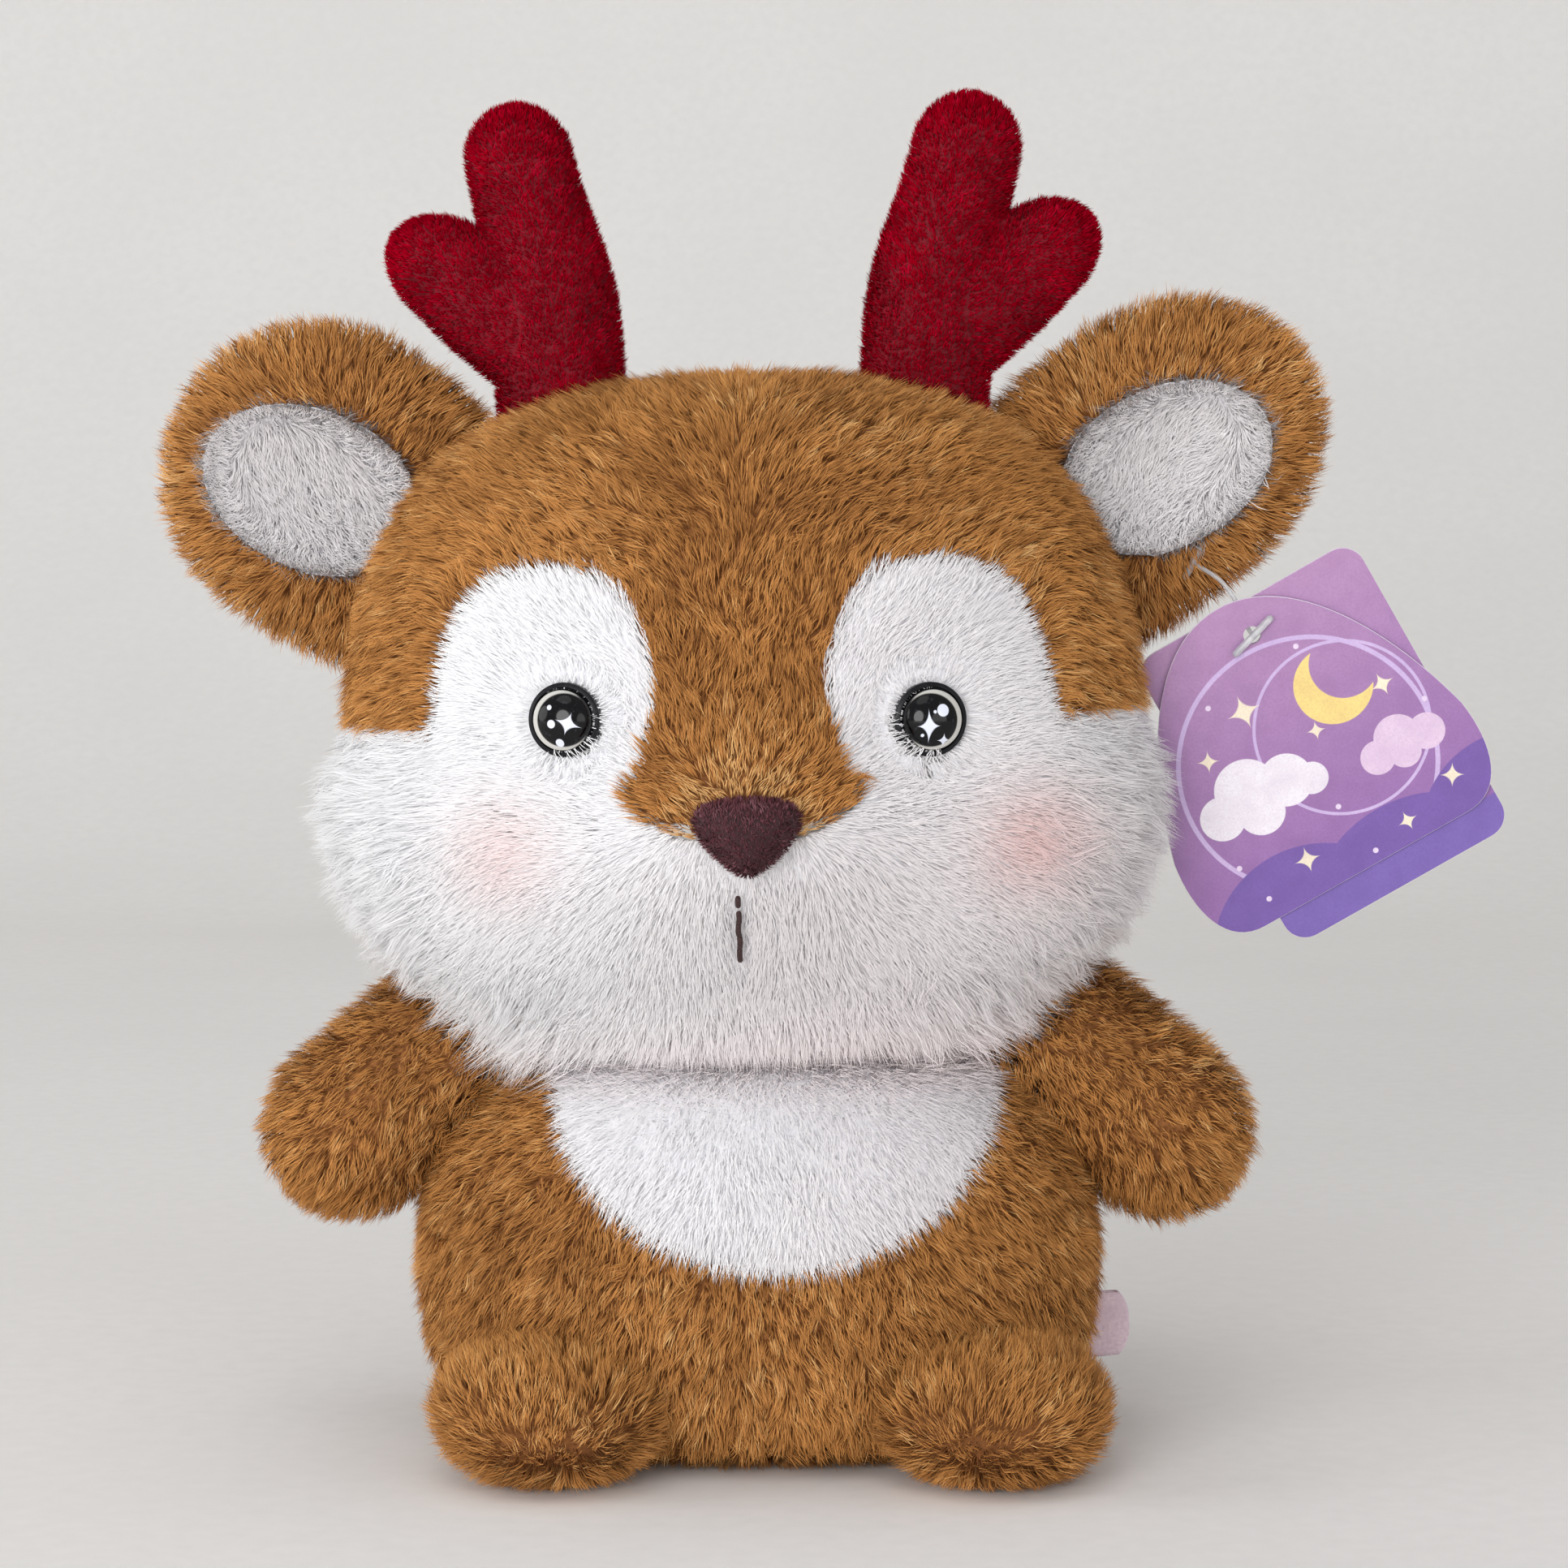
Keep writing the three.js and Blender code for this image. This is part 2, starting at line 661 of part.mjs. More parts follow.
function headSkin() {
  return cut(skullSolid, [skullCore, facePrism(seamGap), headSocket])
}

function facePanel() {
  const pockets = [-1, 1].flatMap((side) => [
    shankHole(side),
    eyePocket(side, eyeRadius, -fit, shankLength),
    eyePocket(side, washerRadius, -shankLength, washerTop + fit),
  ])
  return cut(skullSolid, [skullCore, headSocket, ...pockets]).intersect(facePrism(0))
}

function headStuffing() {
  const pockets = [-1, 1].flatMap((side) => [
    shankHole(side),
    eyePocket(side, washerRadius, washerFoot - fit, shankLength),
  ])
  return cut(solid(skullLining(-skin - fit)), [headSocket, ...pockets])
}

function noseOutline() {
  const w = noseWide / 2
  const h = noseTall
  const path = new THREE.Path()
  path.moveTo(0, -h * 0.56)
  path.bezierCurveTo(w * 0.45, -h * 0.52, w * 1.05, h * 0.02, w, h * 0.2)
  path.bezierCurveTo(w * 0.95, h * 0.42, w * 0.4, h * 0.44, 0, h * 0.44)
  const half = path.getPoints(8)
  return [...half, ...mirrored(half).slice(1, -1)]
}

function nose() {
  const form = pad(noseOutline(), noseReach, noseReach, 4)
  form.translate(noseAside, faceY(0, noseHeight), noseHeight)
  return solid(form).subtract(solid(skullForm(fit)))
}

// a few stitches of thread, drawn tight on the pile below the nose
function mouth() {
  const points = anglesBetween(0, 1, 0.2).map((t) => {
    const z = mouthTop - mouthLength * t
    return new Vector3(mouthAside, faceY(mouthAside, z) - threadRadius - fit, z)
  })
  const section = new THREE.Shape().absellipse(0, 0, threadRadius, threadRadius * 0.9, 0, 2 * Math.PI)
  const path = new THREE.CatmullRomCurve3(points)
  return solid(new THREE.ExtrudeGeometry(section, { extrudePath: path, steps: 8, curveSegments: 3 }))
}

// a lobe in the ear's plane: a straight root, full in the middle, and a round tip
function lobeOutline(half, tip, root, rootHalf) {
  const path = new THREE.Path()
  path.moveTo(-root, -rootHalf)
  path.bezierCurveTo(-root * 0.6, -half, -root * 0.3, -half, 0, -half)
  const low = path.getPoints(3)
  const round = new THREE.Path().absellipse(0, 0, tip, half, -Math.PI / 2, Math.PI / 2, false).getPoints(9)
  const high = low.map((p) => new Vector2(p.x, -p.y)).reverse()
  return [...low, ...round.slice(1, -1), ...high]
}

const sideName = (side) => (side > 0 ? 'left' : 'right')

const earPlace = (side) => {
  const place = new Matrix4()
    .makeTranslation(earOut, earBehind, earUp)
    .multiply(new Matrix4().makeRotationY(deg(-earRise)))
  return side > 0 ? place : new Matrix4().makeScale(-1, 1, 1).multiply(place)
}

// the seam that the ear bends on, along the side of the head
const earAxis = (side) => sideOf(side, Math.sin(deg(earRise)), 0, -Math.cos(deg(earRise)))
const earPin = (side) => new Vector3(-earRoot * 0.62, 0, 0).applyMatrix4(earPlace(side))
const earAngles = anglesBetween(-earBend, earBend, 10)

function earSolid(side) {
  const name = sideName(side)
  const outline = lobeOutline(earHalfWide[name], earTip[name], earRoot, earRootHalf)
  return solid(pad(outline, earThick / 2, earThick / 2), earPlace(side))
}

const dishPad = (grow) =>
  pad(lobeOutline(dishHalfWide + grow, dishTip + grow, dishRoot + grow, 3 + grow), dishDepth, dishDepth)
    .translate(0, 0, -dishDrop)
    .rotateY(deg(-dishTurn))

function earLining(side) {
  const front = solid(dishPad(-fit).translate(0, -earThick / 2 - fit, 0), earPlace(side))
  const hollow = solid(dishPad(0).translate(0, -earThick / 2 - liningThick, 0), earPlace(side))
  return cut(front.subtract(hollow), sweptPast(skullForm(fit), earPin(side), earAxis(side), earAngles))
}

function ear(side) {
  const dish = solid(dishPad(0).translate(0, -earThick / 2, 0), earPlace(side))
  return cut(earSolid(side), [dish, ...sweptPast(skullForm(fit), earPin(side), earAxis(side), earAngles)])
}

// a place on an antler's middle plane: both antlers tilt a little to the toy's left
const antlerPoint = (side, x, z) =>
  new Vector3(side * x + antlerAside + (z - headHeight) * Math.tan(deg(antlerTilt)), 0, z)
const antlerPin = (side) => antlerPoint(side, antlerOut, headHeight - 6)

function antler(side) {
  const at = (x, z) => antlerPoint(side, x, z)
  const thick = new Vector3(0, 1, 0)
  const deep = antlerThick / 2
  const beam = limb({
    spine: [
      at(antlerOut - 1, headHeight * 0.78), at(antlerOut - 1, headHeight),
      at(antlerOut + 1.5, (headHeight + antlerTop) / 2), at(antlerTopOut, antlerTop),
      at(antlerTopOut + 1, antlerTop + antlerHalfTop),
    ],
    sizes: [
      [antlerHalfBase, deep], [antlerHalfBase, deep], [antlerHalfBase + 0.4, deep],
      [antlerHalfTop + 0.6, deep], [antlerHalfTop, deep - 0.5],
    ],
    thick,
    steps: 12,
  })
  const reach = new Vector2(tineOut - tineFromOut, tineUp - tineFrom).normalize()
  const tine = limb({
    spine: [
      at(tineFromOut - 8, tineFrom - 8), at(tineFromOut, tineFrom),
      at(tineOut + reach.x * tineHalf, tineUp + reach.y * tineHalf),
    ],
    sizes: [
      [tineHalfRoot, deep - 1.5], [tineHalfRoot - 1, deep - 1], [tineHalf, deep - 1.5],
    ],
    thick,
    steps: 8,
  })
  const stuffed = solid(beam).add(solid(tine))
  const angles = anglesBetween(-antlerBend, antlerBend, antlerBend)
  return cut(stuffed, sweptPast(skullForm(fit), antlerPin(side), xAxis, angles))
}

// the tag's place: its hole is the origin, its face looks along -Y of its own frame
const tagPlace = new Matrix4()
  .makeTranslation(tagX, tagY, tagZ)
  .multiply(new Matrix4().makeRotationX(deg(tagLeanBack)))
  .multiply(new Matrix4().makeRotationY(deg(-tagRoll)))

function card(outline, from) {
  const shape = new THREE.Shape(outline)
  shape.holes.push(new THREE.Path().absarc(0, 0, tagHole, 0, 2 * Math.PI, false))
  const extruded = { depth: cardThick, bevelEnabled: false, curveSegments: 10 }
  const sheet = new THREE.ExtrudeGeometry(shape, extruded)
  return solid(sheet.rotateX(Math.PI / 2).translate(0, from + cardThick, 0), tagPlace)
}

function frontLeafOutline() {
  const half = frontLeafHalf
  const path = new THREE.Path()
  path.moveTo(0, frontLeafTop)
  path.bezierCurveTo(half * 0.5, frontLeafTop, half * 0.85, -13, half, frontLeafWaist)
  path.bezierCurveTo(half + 1.5, frontLeafHeel, half - 1, frontLeafFoot, half - 9, frontLeafFoot)
  const right = path.getPoints(12)
  return [...right, ...mirrored(right.slice(1))].map((p) => new Vector2(p.x + frontLeafAside, p.y))
}

function backLeafOutline() {
  const left = backLeafAside - backLeafWide / 2
  const right = backLeafAside + backLeafWide / 2
  const path = new THREE.Path()
  path.absarc(right - cardCorner, backLeafTop - cardCorner, cardCorner, 0, Math.PI / 2, false)
  path.absarc(left + cardCorner, backLeafTop - cardCorner, cardCorner, Math.PI / 2, Math.PI, false)
  path.absarc(left + cardCorner, backLeafFoot + cardCorner, cardCorner, Math.PI, 1.5 * Math.PI, false)
  path.absarc(right - cardCorner, backLeafFoot + cardCorner, cardCorner, 1.5 * Math.PI, 2 * Math.PI, false)
  return path.getPoints(6)
}

// The clear fastener: a bar held in the ear, a filament that runs behind both leaves and
// out through their holes, and a bar across the front.
const frontBarY = -cardThick / 2 - fit - barRadius
const backOfCards = cardThick / 2 + cardGap + cardThick
const earBar = new Vector3(-2.8, 7.5, 16.2)

function rod(points, radius, steps = 14) {
  const section = new THREE.Shape().absellipse(0, 0, radius, radius, 0, 2 * Math.PI)
  const path = new THREE.CatmullRomCurve3(points.map((p) => new Vector3(...p)))
  return new THREE.ExtrudeGeometry(section, { extrudePath: path, steps, curveSegments: 3 })
}

function fastener(grow = 0) {
  const behind = backOfCards + fit + filamentRadius + 0.6
  const r = filamentRadius + grow
  const filament = rod(
    [
      [0, frontBarY, 0], [0, 0, 0], [0, backOfCards, 0.1], [0, behind, 1.4], [0.5, behind + 0.4, 6],
      [0, behind + 1.6, 11], [earBar.x, earBar.y, earBar.z],
    ],
    r, 16,
  )
  const half = barLength / 2
  const across = [[-half, frontBarY, -1.5], [0, frontBarY, 0], [half, frontBarY, 1.5]]
  const frontBar = rod(across, barRadius + grow, 2)
  const heldBar = rod([
    [earBar.x - half * 0.6, earBar.y, earBar.z - 2], [earBar.x, earBar.y, earBar.z],
    [earBar.x + half * 0.6, earBar.y, earBar.z + 2],
  ], barRadius + grow, 2)
  return joined([filament, frontBar, heldBar].map((piece) => solid(piece, tagPlace)))
}

// materials

const cloth = (color) => new THREE.MeshStandardMaterial({ color, roughness: 0.95, metalness: 0 })
const plastic = (color, roughness) => new THREE.MeshStandardMaterial({ color, roughness, metalness: 0 })
const brown = 0xa8703e
const white = 0xeeeef2
const crimson = 0xa50a23

// the toy, piece by piece

const neckAt = new Matrix4().makeTranslation(neckAside, 0, neckHeight)
const toy = new THREE.Group()
const head = new THREE.Group()
head.applyMatrix4(headPlace())
toy.add(head)

function add(group, name, shape, material) {
  const mesh = new THREE.Mesh(geometryOf(shape), material)
  mesh.name = name
  group.add(mesh)
}

add(toy, 'body_skin', bodySkin(), cloth(brown))
add(toy, 'bib', bib(), cloth(white))
add(toy, 'body_stuffing', bodyStuffing(), cloth(0xf4f4f0))
add(toy, 'neck_stuffing', solid(neckBallForm(0), neckAt), cloth(0xf4f4f0))
add(toy, 'tail', tail(), cloth(brown))
add(toy, 'care_label', careLabel(), cloth(0xe6d3e2))

add(head, 'head_skin', headSkin(), cloth(brown))
add(head, 'face_panel', facePanel(), cloth(white))
add(head, 'head_stuffing', headStuffing(), cloth(0xf4f4f0))
add(head, 'nose', nose(), cloth(0x4b2a30))
add(head, 'mouth_stitch', mouth(), cloth(0x3a2420))

for (const [side, name] of [[-1, 'right'], [1, 'left']]) {
  add(toy, `arm_${name}`, arm(side), cloth(brown))
  add(toy, `foot_${name}`, foot(side), cloth(brown))
  add(head, `ear_lining_${name}`, earLining(side), cloth(0xdedcde))
  add(head, `antler_${name}`, antler(side), cloth(crimson))
  add(head, `eye_back_${name}`, solid(lathe(eyeBackProfile()), eyeSeat(side)), plastic(0xc8cbd0, 0.3))
  add(head, `eye_dome_${name}`, solid(lathe(eyeDomeProfile()), eyeSeat(side)), plastic(0x0a0a0c, 0.08))
  add(head, `eye_washer_${name}`, solid(washer(), eyeSeat(side)), plastic(0xe8e8e4, 0.6))
}
add(head, 'ear_right', ear(-1), cloth(brown))
add(head, 'ear_left', ear(1).subtract(fastener(fit)), cloth(brown))

add(head, 'tag_front_leaf', card(frontLeafOutline(), -cardThick / 2), plastic(0xaf87c8, 0.4))
add(head, 'tag_back_leaf', card(backLeafOutline(), cardThick / 2 + cardGap), plastic(0xaf87c8, 0.4))
add(head, 'tag_fastener', fastener(), plastic(0xf2f2f2, 0.25))

export default toy
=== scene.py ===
# %% [markdown]
# # A sitting plush fawn
# The toy is sewn from fur fabric over a soft filling, with velour antlers, turned plastic
# eyes, a hang tag and a care label. The frame gives every piece its place and its joints;
# this lesson dresses it: smooth cloth forms first, then the pile that grows on them.

# %% Load the frame
import json
import math
import bmesh
import bpy
import numpy as np
from mathutils import Matrix, Vector, kdtree
from mathutils.bvhtree import BVHTree
from mathutils.geometry import tessellate_polygon


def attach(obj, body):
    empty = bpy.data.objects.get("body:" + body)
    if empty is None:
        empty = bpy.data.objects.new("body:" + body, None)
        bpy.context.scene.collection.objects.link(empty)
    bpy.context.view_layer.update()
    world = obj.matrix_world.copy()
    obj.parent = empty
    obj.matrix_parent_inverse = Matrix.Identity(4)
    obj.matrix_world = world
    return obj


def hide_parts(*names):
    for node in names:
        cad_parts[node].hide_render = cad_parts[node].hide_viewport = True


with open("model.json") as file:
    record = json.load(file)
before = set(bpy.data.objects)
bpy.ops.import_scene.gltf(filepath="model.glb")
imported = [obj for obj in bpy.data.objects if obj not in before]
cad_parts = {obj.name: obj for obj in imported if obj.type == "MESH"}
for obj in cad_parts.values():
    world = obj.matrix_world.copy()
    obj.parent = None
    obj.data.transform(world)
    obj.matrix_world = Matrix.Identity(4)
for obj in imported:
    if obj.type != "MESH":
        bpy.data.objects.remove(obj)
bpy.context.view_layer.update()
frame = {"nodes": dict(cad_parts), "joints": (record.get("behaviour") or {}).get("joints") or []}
nodes = frame["nodes"]
MM = 0.001

# %% [markdown]
# ## The camera
# The toy was photographed from the front, a little above its own height. A long lens 0.8 m
# away keeps the ears and the feet in proportion, so the camera stands there and looks at
# the middle of the toy. It is square, like the picture.

# %% Camera
look_at = Vector((4.8, 0, 122.9)) * MM
camera_distance = 800 * MM
camera_rise = math.radians(4)
half_picture, lens_length = 966, 5228.8  # both in pixels of the photograph


def in_scene(name, data):
    """A new object that shows this data, linked to the scene."""
    made = bpy.data.objects.new(name, data)
    bpy.context.scene.collection.objects.link(made)
    return made


camera_data = bpy.data.cameras.new("front_camera")
camera_data.sensor_fit = "HORIZONTAL"
camera_data.angle = 2 * math.atan(half_picture / lens_length)
camera_data.clip_start = 0.01
camera = in_scene("front_camera", camera_data)
view_way = Vector((0, math.cos(camera_rise), -math.sin(camera_rise)))
camera.location = look_at - view_way * camera_distance
camera.rotation_mode = "QUATERNION"
camera.rotation_quaternion = view_way.to_track_quat("-Z", "Y")
bpy.context.scene.camera = camera
print("camera at", [round(v, 3) for v in camera.location])

# %% [markdown]
# ## Curves and rings
# A stuffed form is easiest to think of as rings of stitches from one end to the other. A
# smooth curve through a few measured sizes says how wide each ring is. These helpers
# follow such a curve, and a spline through points in space, evenly along its length.


# %% Curves
def smooth_shares(shape, count=400):
    """Points of a smooth line through the (width, height) shares of a form."""
    p = np.array(shape, float)
    last = len(p) - 1
    t = np.linspace(0, last, count)
    i = np.minimum(t.astype(int), last - 1)
    w = (t - i)[:, None]
    a, b = p[np.maximum(i - 1, 0)], p[i]
    c, d = p[i + 1], p[np.minimum(i + 2, last)]
    va, vb = (c - a) / 2, (d - b) / 2
    return (2 * b - 2 * c + va + vb) * w**3 + (3 * c - 3 * b - 2 * va - vb) * w**2 + va * w + b


def spline(points, t):
    """Places at shares t of a smooth curve through points, one share per span."""
    p = np.array(points, float)
    last = len(p) - 1
    span = np.clip(t, 0, 1) * last
    i = np.minimum(span.astype(int), last - 1)
    w = (span - i)[:, None]
    ends = np.vstack([2 * p[0] - p[1], p, 2 * p[-1] - p[-2]])
    a, b, c, d = ends[i], ends[i + 1], ends[i + 2], ends[i + 3]
    spans = ((a, b), (b, c), (c, d))
    ra, rb, rc = (np.maximum(np.sqrt(np.linalg.norm(v - u, axis=1)), 1e-4)[:, None] for u, v in spans)
    ta = ((b - a) / ra - (c - a) / (ra + rb) + (c - b) / rb) * rb
    tb = ((c - b) / rb - (d - b) / (rb + rc) + (d - c) / rc) * rb
    return b + ta * w + (3 * c - 3 * b - 2 * ta - tb) * w**2 + (2 * b - 2 * c + ta + tb) * w**3


def unit(v):
    """Directions of length one."""
    return v / np.maximum(np.linalg.norm(v, axis=-1, keepdims=True), 1e-9)


def run_along(line):
    """How long a line is up to each of its points."""
    return np.concatenate([[0], np.cumsum(np.linalg.norm(np.diff(line, axis=0), axis=1))])


def evenly(points, shares):
    """Places and directions at even shares of a curve's length, and that length."""
    fine = spline(points, np.linspace(0, 1, 400))
    run = run_along(fine)
    at = shares * run[-1]
    place, ahead, behind = (
        np.stack([np.interp(at + off, run, fine[:, k]) for k in range(3)], 1) for off in (0, 0.2, -0.2)
    )
    return place, unit(ahead - behind), run[-1]


print("a form's line has", len(smooth_shares([[0, 0], [1, 0.5], [0, 1]])), "points")

# %% [markdown]
# ## Places
# The head leans a little on the neck, the ears rise from the head, and the tag leans back.
# Each such place is one 4 by 4 matrix, and points are carried through it in one step.


# %% Places
HEAD_LEAN, EAR_RISE = 1.5, 36  # in degrees
SIDES = ((-1, "right"), (1, "left"))


def moved(x=0, y=0, z=0):
    """A place so many millimetres along each axis."""
    m = np.eye(4)
    m[:3, 3] = (x, y, z)
    return m


def turned(axis, degrees):
    """A place turned about one axis."""
    return np.array(Matrix.Rotation(math.radians(degrees), 4, axis))


def carried(points, place):
    """Points of a piece's own frame, as they lie in the world."""
    return points @ place[:3, :3].T + place[:3, 3]


def back_from(points, place):
    """Points of the world, as they lie in a piece's own frame."""
    return (points - place[:3, 3]) @ np.linalg.inv(place[:3, :3]).T


head_place = moved(-1, 0, 76) @ turned("Y", -HEAD_LEAN)
flip = np.diag([-1.0, 1, 1, 1])
ear_places = {
    side: (head_place if side > 0 else head_place @ flip) @ moved(79.5, 9, 106.5) @ turned("Y", -EAR_RISE)
    for side in (1, -1)
}
tag_place = head_place @ moved(95.5, -2.5, 72.6) @ turned("X", 8) @ turned("Y", -29)
print("neck at", head_place[:3, 3], "tag hole at", tag_place[:3, 3].round(1))

# %% [markdown]
# ## Surfaces of the stuffed forms
# The trunk and the head are rounded oblongs that swell and taper from foot to crown. Limbs
# are swept along a bent spine, and ears are flat pads. Written as functions of the same
# measured sizes as the frame, they can be drawn as finely as the pile needs.


# %% Surface builder
def ringed(rings, start, end):
    """A closed surface: points, triangles."""
    count, around = rings.shape[:2]
    points = np.vstack([[start], rings.reshape(-1, 3), [end]])
    k = np.arange(around)
    n = (k + 1) % around
    faces = [np.stack([np.zeros_like(k), 1 + n, 1 + k], 1)]
    for r in range(count - 1):
        a = 1 + r * around
        b = a + around
        faces += [np.stack([a + k, a + n, b + n], 1), np.stack([a + k, b + n, b + k], 1)]
    last = len(points) - 1
    faces.append(np.stack([np.full_like(k, last), last - around + k, last - around + n], 1))
    faces = np.vstack(faces)
    a, b, c = (points[faces[:, i]] for i in range(3))
    if (a * np.cross(b, c)).sum() < 0:
        faces = faces[:, ::-1]
    return points, faces


RING_POWER = 2.2
BODY_SHAPE = [
    (0, 0), (0.54, 0.001), (0.79, 0.042), (0.935, 0.146), (1, 0.339), (1, 0.536),
    (0.95, 0.7), (0.85, 0.825), (0.7, 0.92), (0.4, 0.985), (0, 1),
]
HEAD_SHAPE = [
    (0, 0), (0.42, 0.002), (0.61, 0.03), (0.79, 0.096), (0.935, 0.205), (1, 0.345), (0.975, 0.475),
    (0.95, 0.6), (0.89, 0.735), (0.755, 0.865), (0.55, 0.948), (0.29, 0.992), (0, 1),
]
FACE_MIDDLE, EYE_X, EYE_Z, EYE_TILT = 1, 31.8, 61.9, 0.8
NOSE_X, NOSE_Z = 0.5, 43
HEAD_FORWARD = 3
EYE_HOLLOWS = [(FACE_MIDDLE + side * EYE_X, EYE_Z, -1.6, 10, 10) for side in (-1, 1)]
trunk = dict(width=126, front=49, back=47, height=79.5, shape=BODY_SHAPE, bumps=[], at=moved(0, 0, -0.5))
skull = dict(
    width=152, front=55, back=52, height=122.6, shape=HEAD_SHAPE,
    bumps=[(0, NOSE_Z, 10, 23, 17)] + EYE_HOLLOWS, at=head_place @ moved(0, -HEAD_FORWARD, 0),
)


def push(bumps, x, z):
    """How far bumps (across, up, how far, half width, half height) push a form's front out."""
    return sum(
        (r * np.exp(-(((x - bx) / w) ** 2) - ((z - bz) / t) ** 2) for bx, bz, r, w, t in bumps), 0 * x
    )


def swollen(form, grow=0, rings=46, sides=80):
    """The surface of a trunk or a head, grown or shrunk by so many millimetres."""
    line = smooth_shares(form["shape"])
    run = run_along(line)
    at = np.linspace(0, run[-1], rings + 2)[1:-1]
    share, high = np.interp(at, run, line[:, 0]), np.interp(at, run, line[:, 1])
    a = np.arange(sides) * 2 * np.pi / sides
    cos, sin = (np.sign(f) * np.abs(f) ** (2 / RING_POWER) for f in (np.cos(a), np.sin(a)))
    x = share[:, None] * (form["width"] / 2 + grow) * cos
    y = share[:, None] * sin * (np.where(sin < 0, form["front"], form["back"]) + grow)
    z = np.broadcast_to((high * (form["height"] + 2 * grow) - grow)[:, None], x.shape)
    y = y - push(form["bumps"], x, z) * np.where(y < 0, np.minimum(1, -y / 12), 0)
    points, faces = ringed(np.stack([x, y, z], 2), (0, 0, -grow), (0, 0, form["height"] + grow))
    return carried(points, form["at"]), faces


def within(points, form, grow=0):
    """Which points lie inside a trunk or a head grown by so much."""
    p = back_from(points, form["at"])
    line = smooth_shares(form["shape"])
    h = (p[:, 2] + grow) / (form["height"] + 2 * grow)
    share = np.interp(h, line[:, 1], line[:, 0], left=0, right=0)
    wide = np.maximum(share * (form["width"] / 2 + grow), 1e-6)
    deep = np.maximum(share * (np.where(p[:, 1] < 0, form["front"], form["back"]) + grow), 1e-6)
    y = p[:, 1] + np.where(p[:, 1] < 0, push(form["bumps"], p[:, 0], p[:, 2]), 0)
    return np.abs(p[:, 0] / wide) ** RING_POWER + np.abs(y / deep) ** RING_POWER < 1


print("head surface", swollen(skull)[0].shape[0], "points")

# %% [markdown]
# ## Limbs, tail and antlers
# An arm is a stuffed tube, so its form is swept: rings stand along a bent spine, and a few
# sizes say how wide and how thick each ring is. The ends are rounded off like a ball. The
# spine also says which way the limb points, and so which way its pile was combed.


# %% Limbs
RING_REACH = 3  # how far along the spine one ring counts, in mm


def limb(spine, sizes, thick, grow=0, steps=34, sides=44):
    """Surface of a stuffed limb, the way that its pile lies, and its rings as a core."""
    t = (1 - np.cos(np.pi * np.arange(1, steps) / steps)) / 2
    place, along, length = evenly(spine, t)
    size = spline([(w, d, 0) for w, d in sizes], t)
    near = np.minimum(t, 1 - t) * length
    round_off = np.sqrt(1 - (1 - np.minimum(1, near / size[:, 0])) ** 2)
    wide = unit(np.cross(along, np.array(thick, float)))
    up = np.cross(wide, along)
    a = np.arange(sides) * 2 * np.pi / sides
    half, deep = ((round_off * size[:, k] + grow * round_off)[:, None, None] for k in (0, 1))
    ring = (place[:, None] + wide[:, None] * half * np.cos(a)[None, :, None]
            + up[:, None] * deep * np.sin(a)[None, :, None])
    points, faces = ringed(ring, spine[0] - along[0] * grow, spine[-1] + along[-1] * grow)
    comb = np.vstack([[along[0]], np.repeat(along, sides, 0), [along[-1]]])
    core = dict(place=place, wide=wide, up=up, along=along,
                half=size[:, 0] * round_off, deep=size[:, 1] * round_off)
    return points, faces, comb, core


def within_limb(points, core, grow=0):
    """Which points lie inside a limb grown by so much."""
    gap = np.linalg.norm(points[:, None] - core["place"][None], axis=2)
    i = gap.argmin(1)
    off = points - core["place"][i]
    u = (off * core["wide"][i]).sum(1) / np.maximum(core["half"][i] + grow, 0.1)
    v = (off * core["up"][i]).sum(1) / np.maximum(core["deep"][i] + grow, 0.1)
    w = (off * core["along"][i]).sum(1) / RING_REACH
    return (u * u + v * v < 1) & (np.abs(w) < 1)


def arm_form(side, grow=0):
    shoulder, elbow, wrist = np.array([47, 0, 78.0]), np.array([60.4, -3, 70.5]), np.array([73.8, -6, 59.0])
    way = unit(np.array([26.8, 0, -19.0]))
    spine = [p * (side, 1, 1) for p in (shoulder - way * 15, elbow, wrist + way * 16.9)]
    return limb(spine, [(15, 12.5), (18.2, 15.5), (16.9, 15.5), (16.9, 15.5)], (0, 1, 0), grow)


def foot_form(side, grow=0):
    x = 2.5 + side * 39.75
    heel, middle, toe = np.array([x, -8, 11.5]), np.array([x, -35, 12.5]), np.array([x, -62, 11.5])
    return limb([heel, middle, toe], [(16.8, 11), (20.8, 13), (20.8, 13), (19.8, 12)], (0, 0, 1), grow)


def tail_form(grow=0):
    rise = math.radians(35)
    along = np.array([0, math.cos(rise), math.sin(rise)])
    pin = np.array([0, 43.71, 24])
    root, tip = pin - along * 12.6, pin + along * 21
    return limb([root, (root + tip) / 2, tip], [(7, 6), (10, 7.5), (8, 6)], (0, -along[2], along[1]), grow)


def antler_forms(side, grow=0):
    """An antler's upright beam and the short tine that leaves it."""
    lean = math.tan(math.radians(HEAD_LEAN))

    def at(x, z):
        return carried(np.array([side * x + 1.3 + (z - skull["height"]) * lean, 0, z]), head_place)

    beam = limb(
        [at(34.2, 95.63), at(34.2, 122.6), at(36.7, 143.8), at(41.8, 165), at(42.8, 174.6)],
        [(11.8, 8.5), (11.8, 8.5), (12.2, 8.5), (10.2, 8.5), (9.6, 8)], (0, 1, 0), grow, steps=46,
    )
    reach = unit(np.array([19.8, 14.5]))
    tine = limb(
        [at(31, 124.5), at(39, 132.5), at(58.8 + reach[0] * 7.4, 147 + reach[1] * 7.4)],
        [(12.5, 7), (11.5, 7.5), (7.4, 7)], (0, 1, 0), grow,
    )
    return beam, tine


print("arm surface", len(arm_form(1)[0]), "points; tail", len(tail_form()[0]))

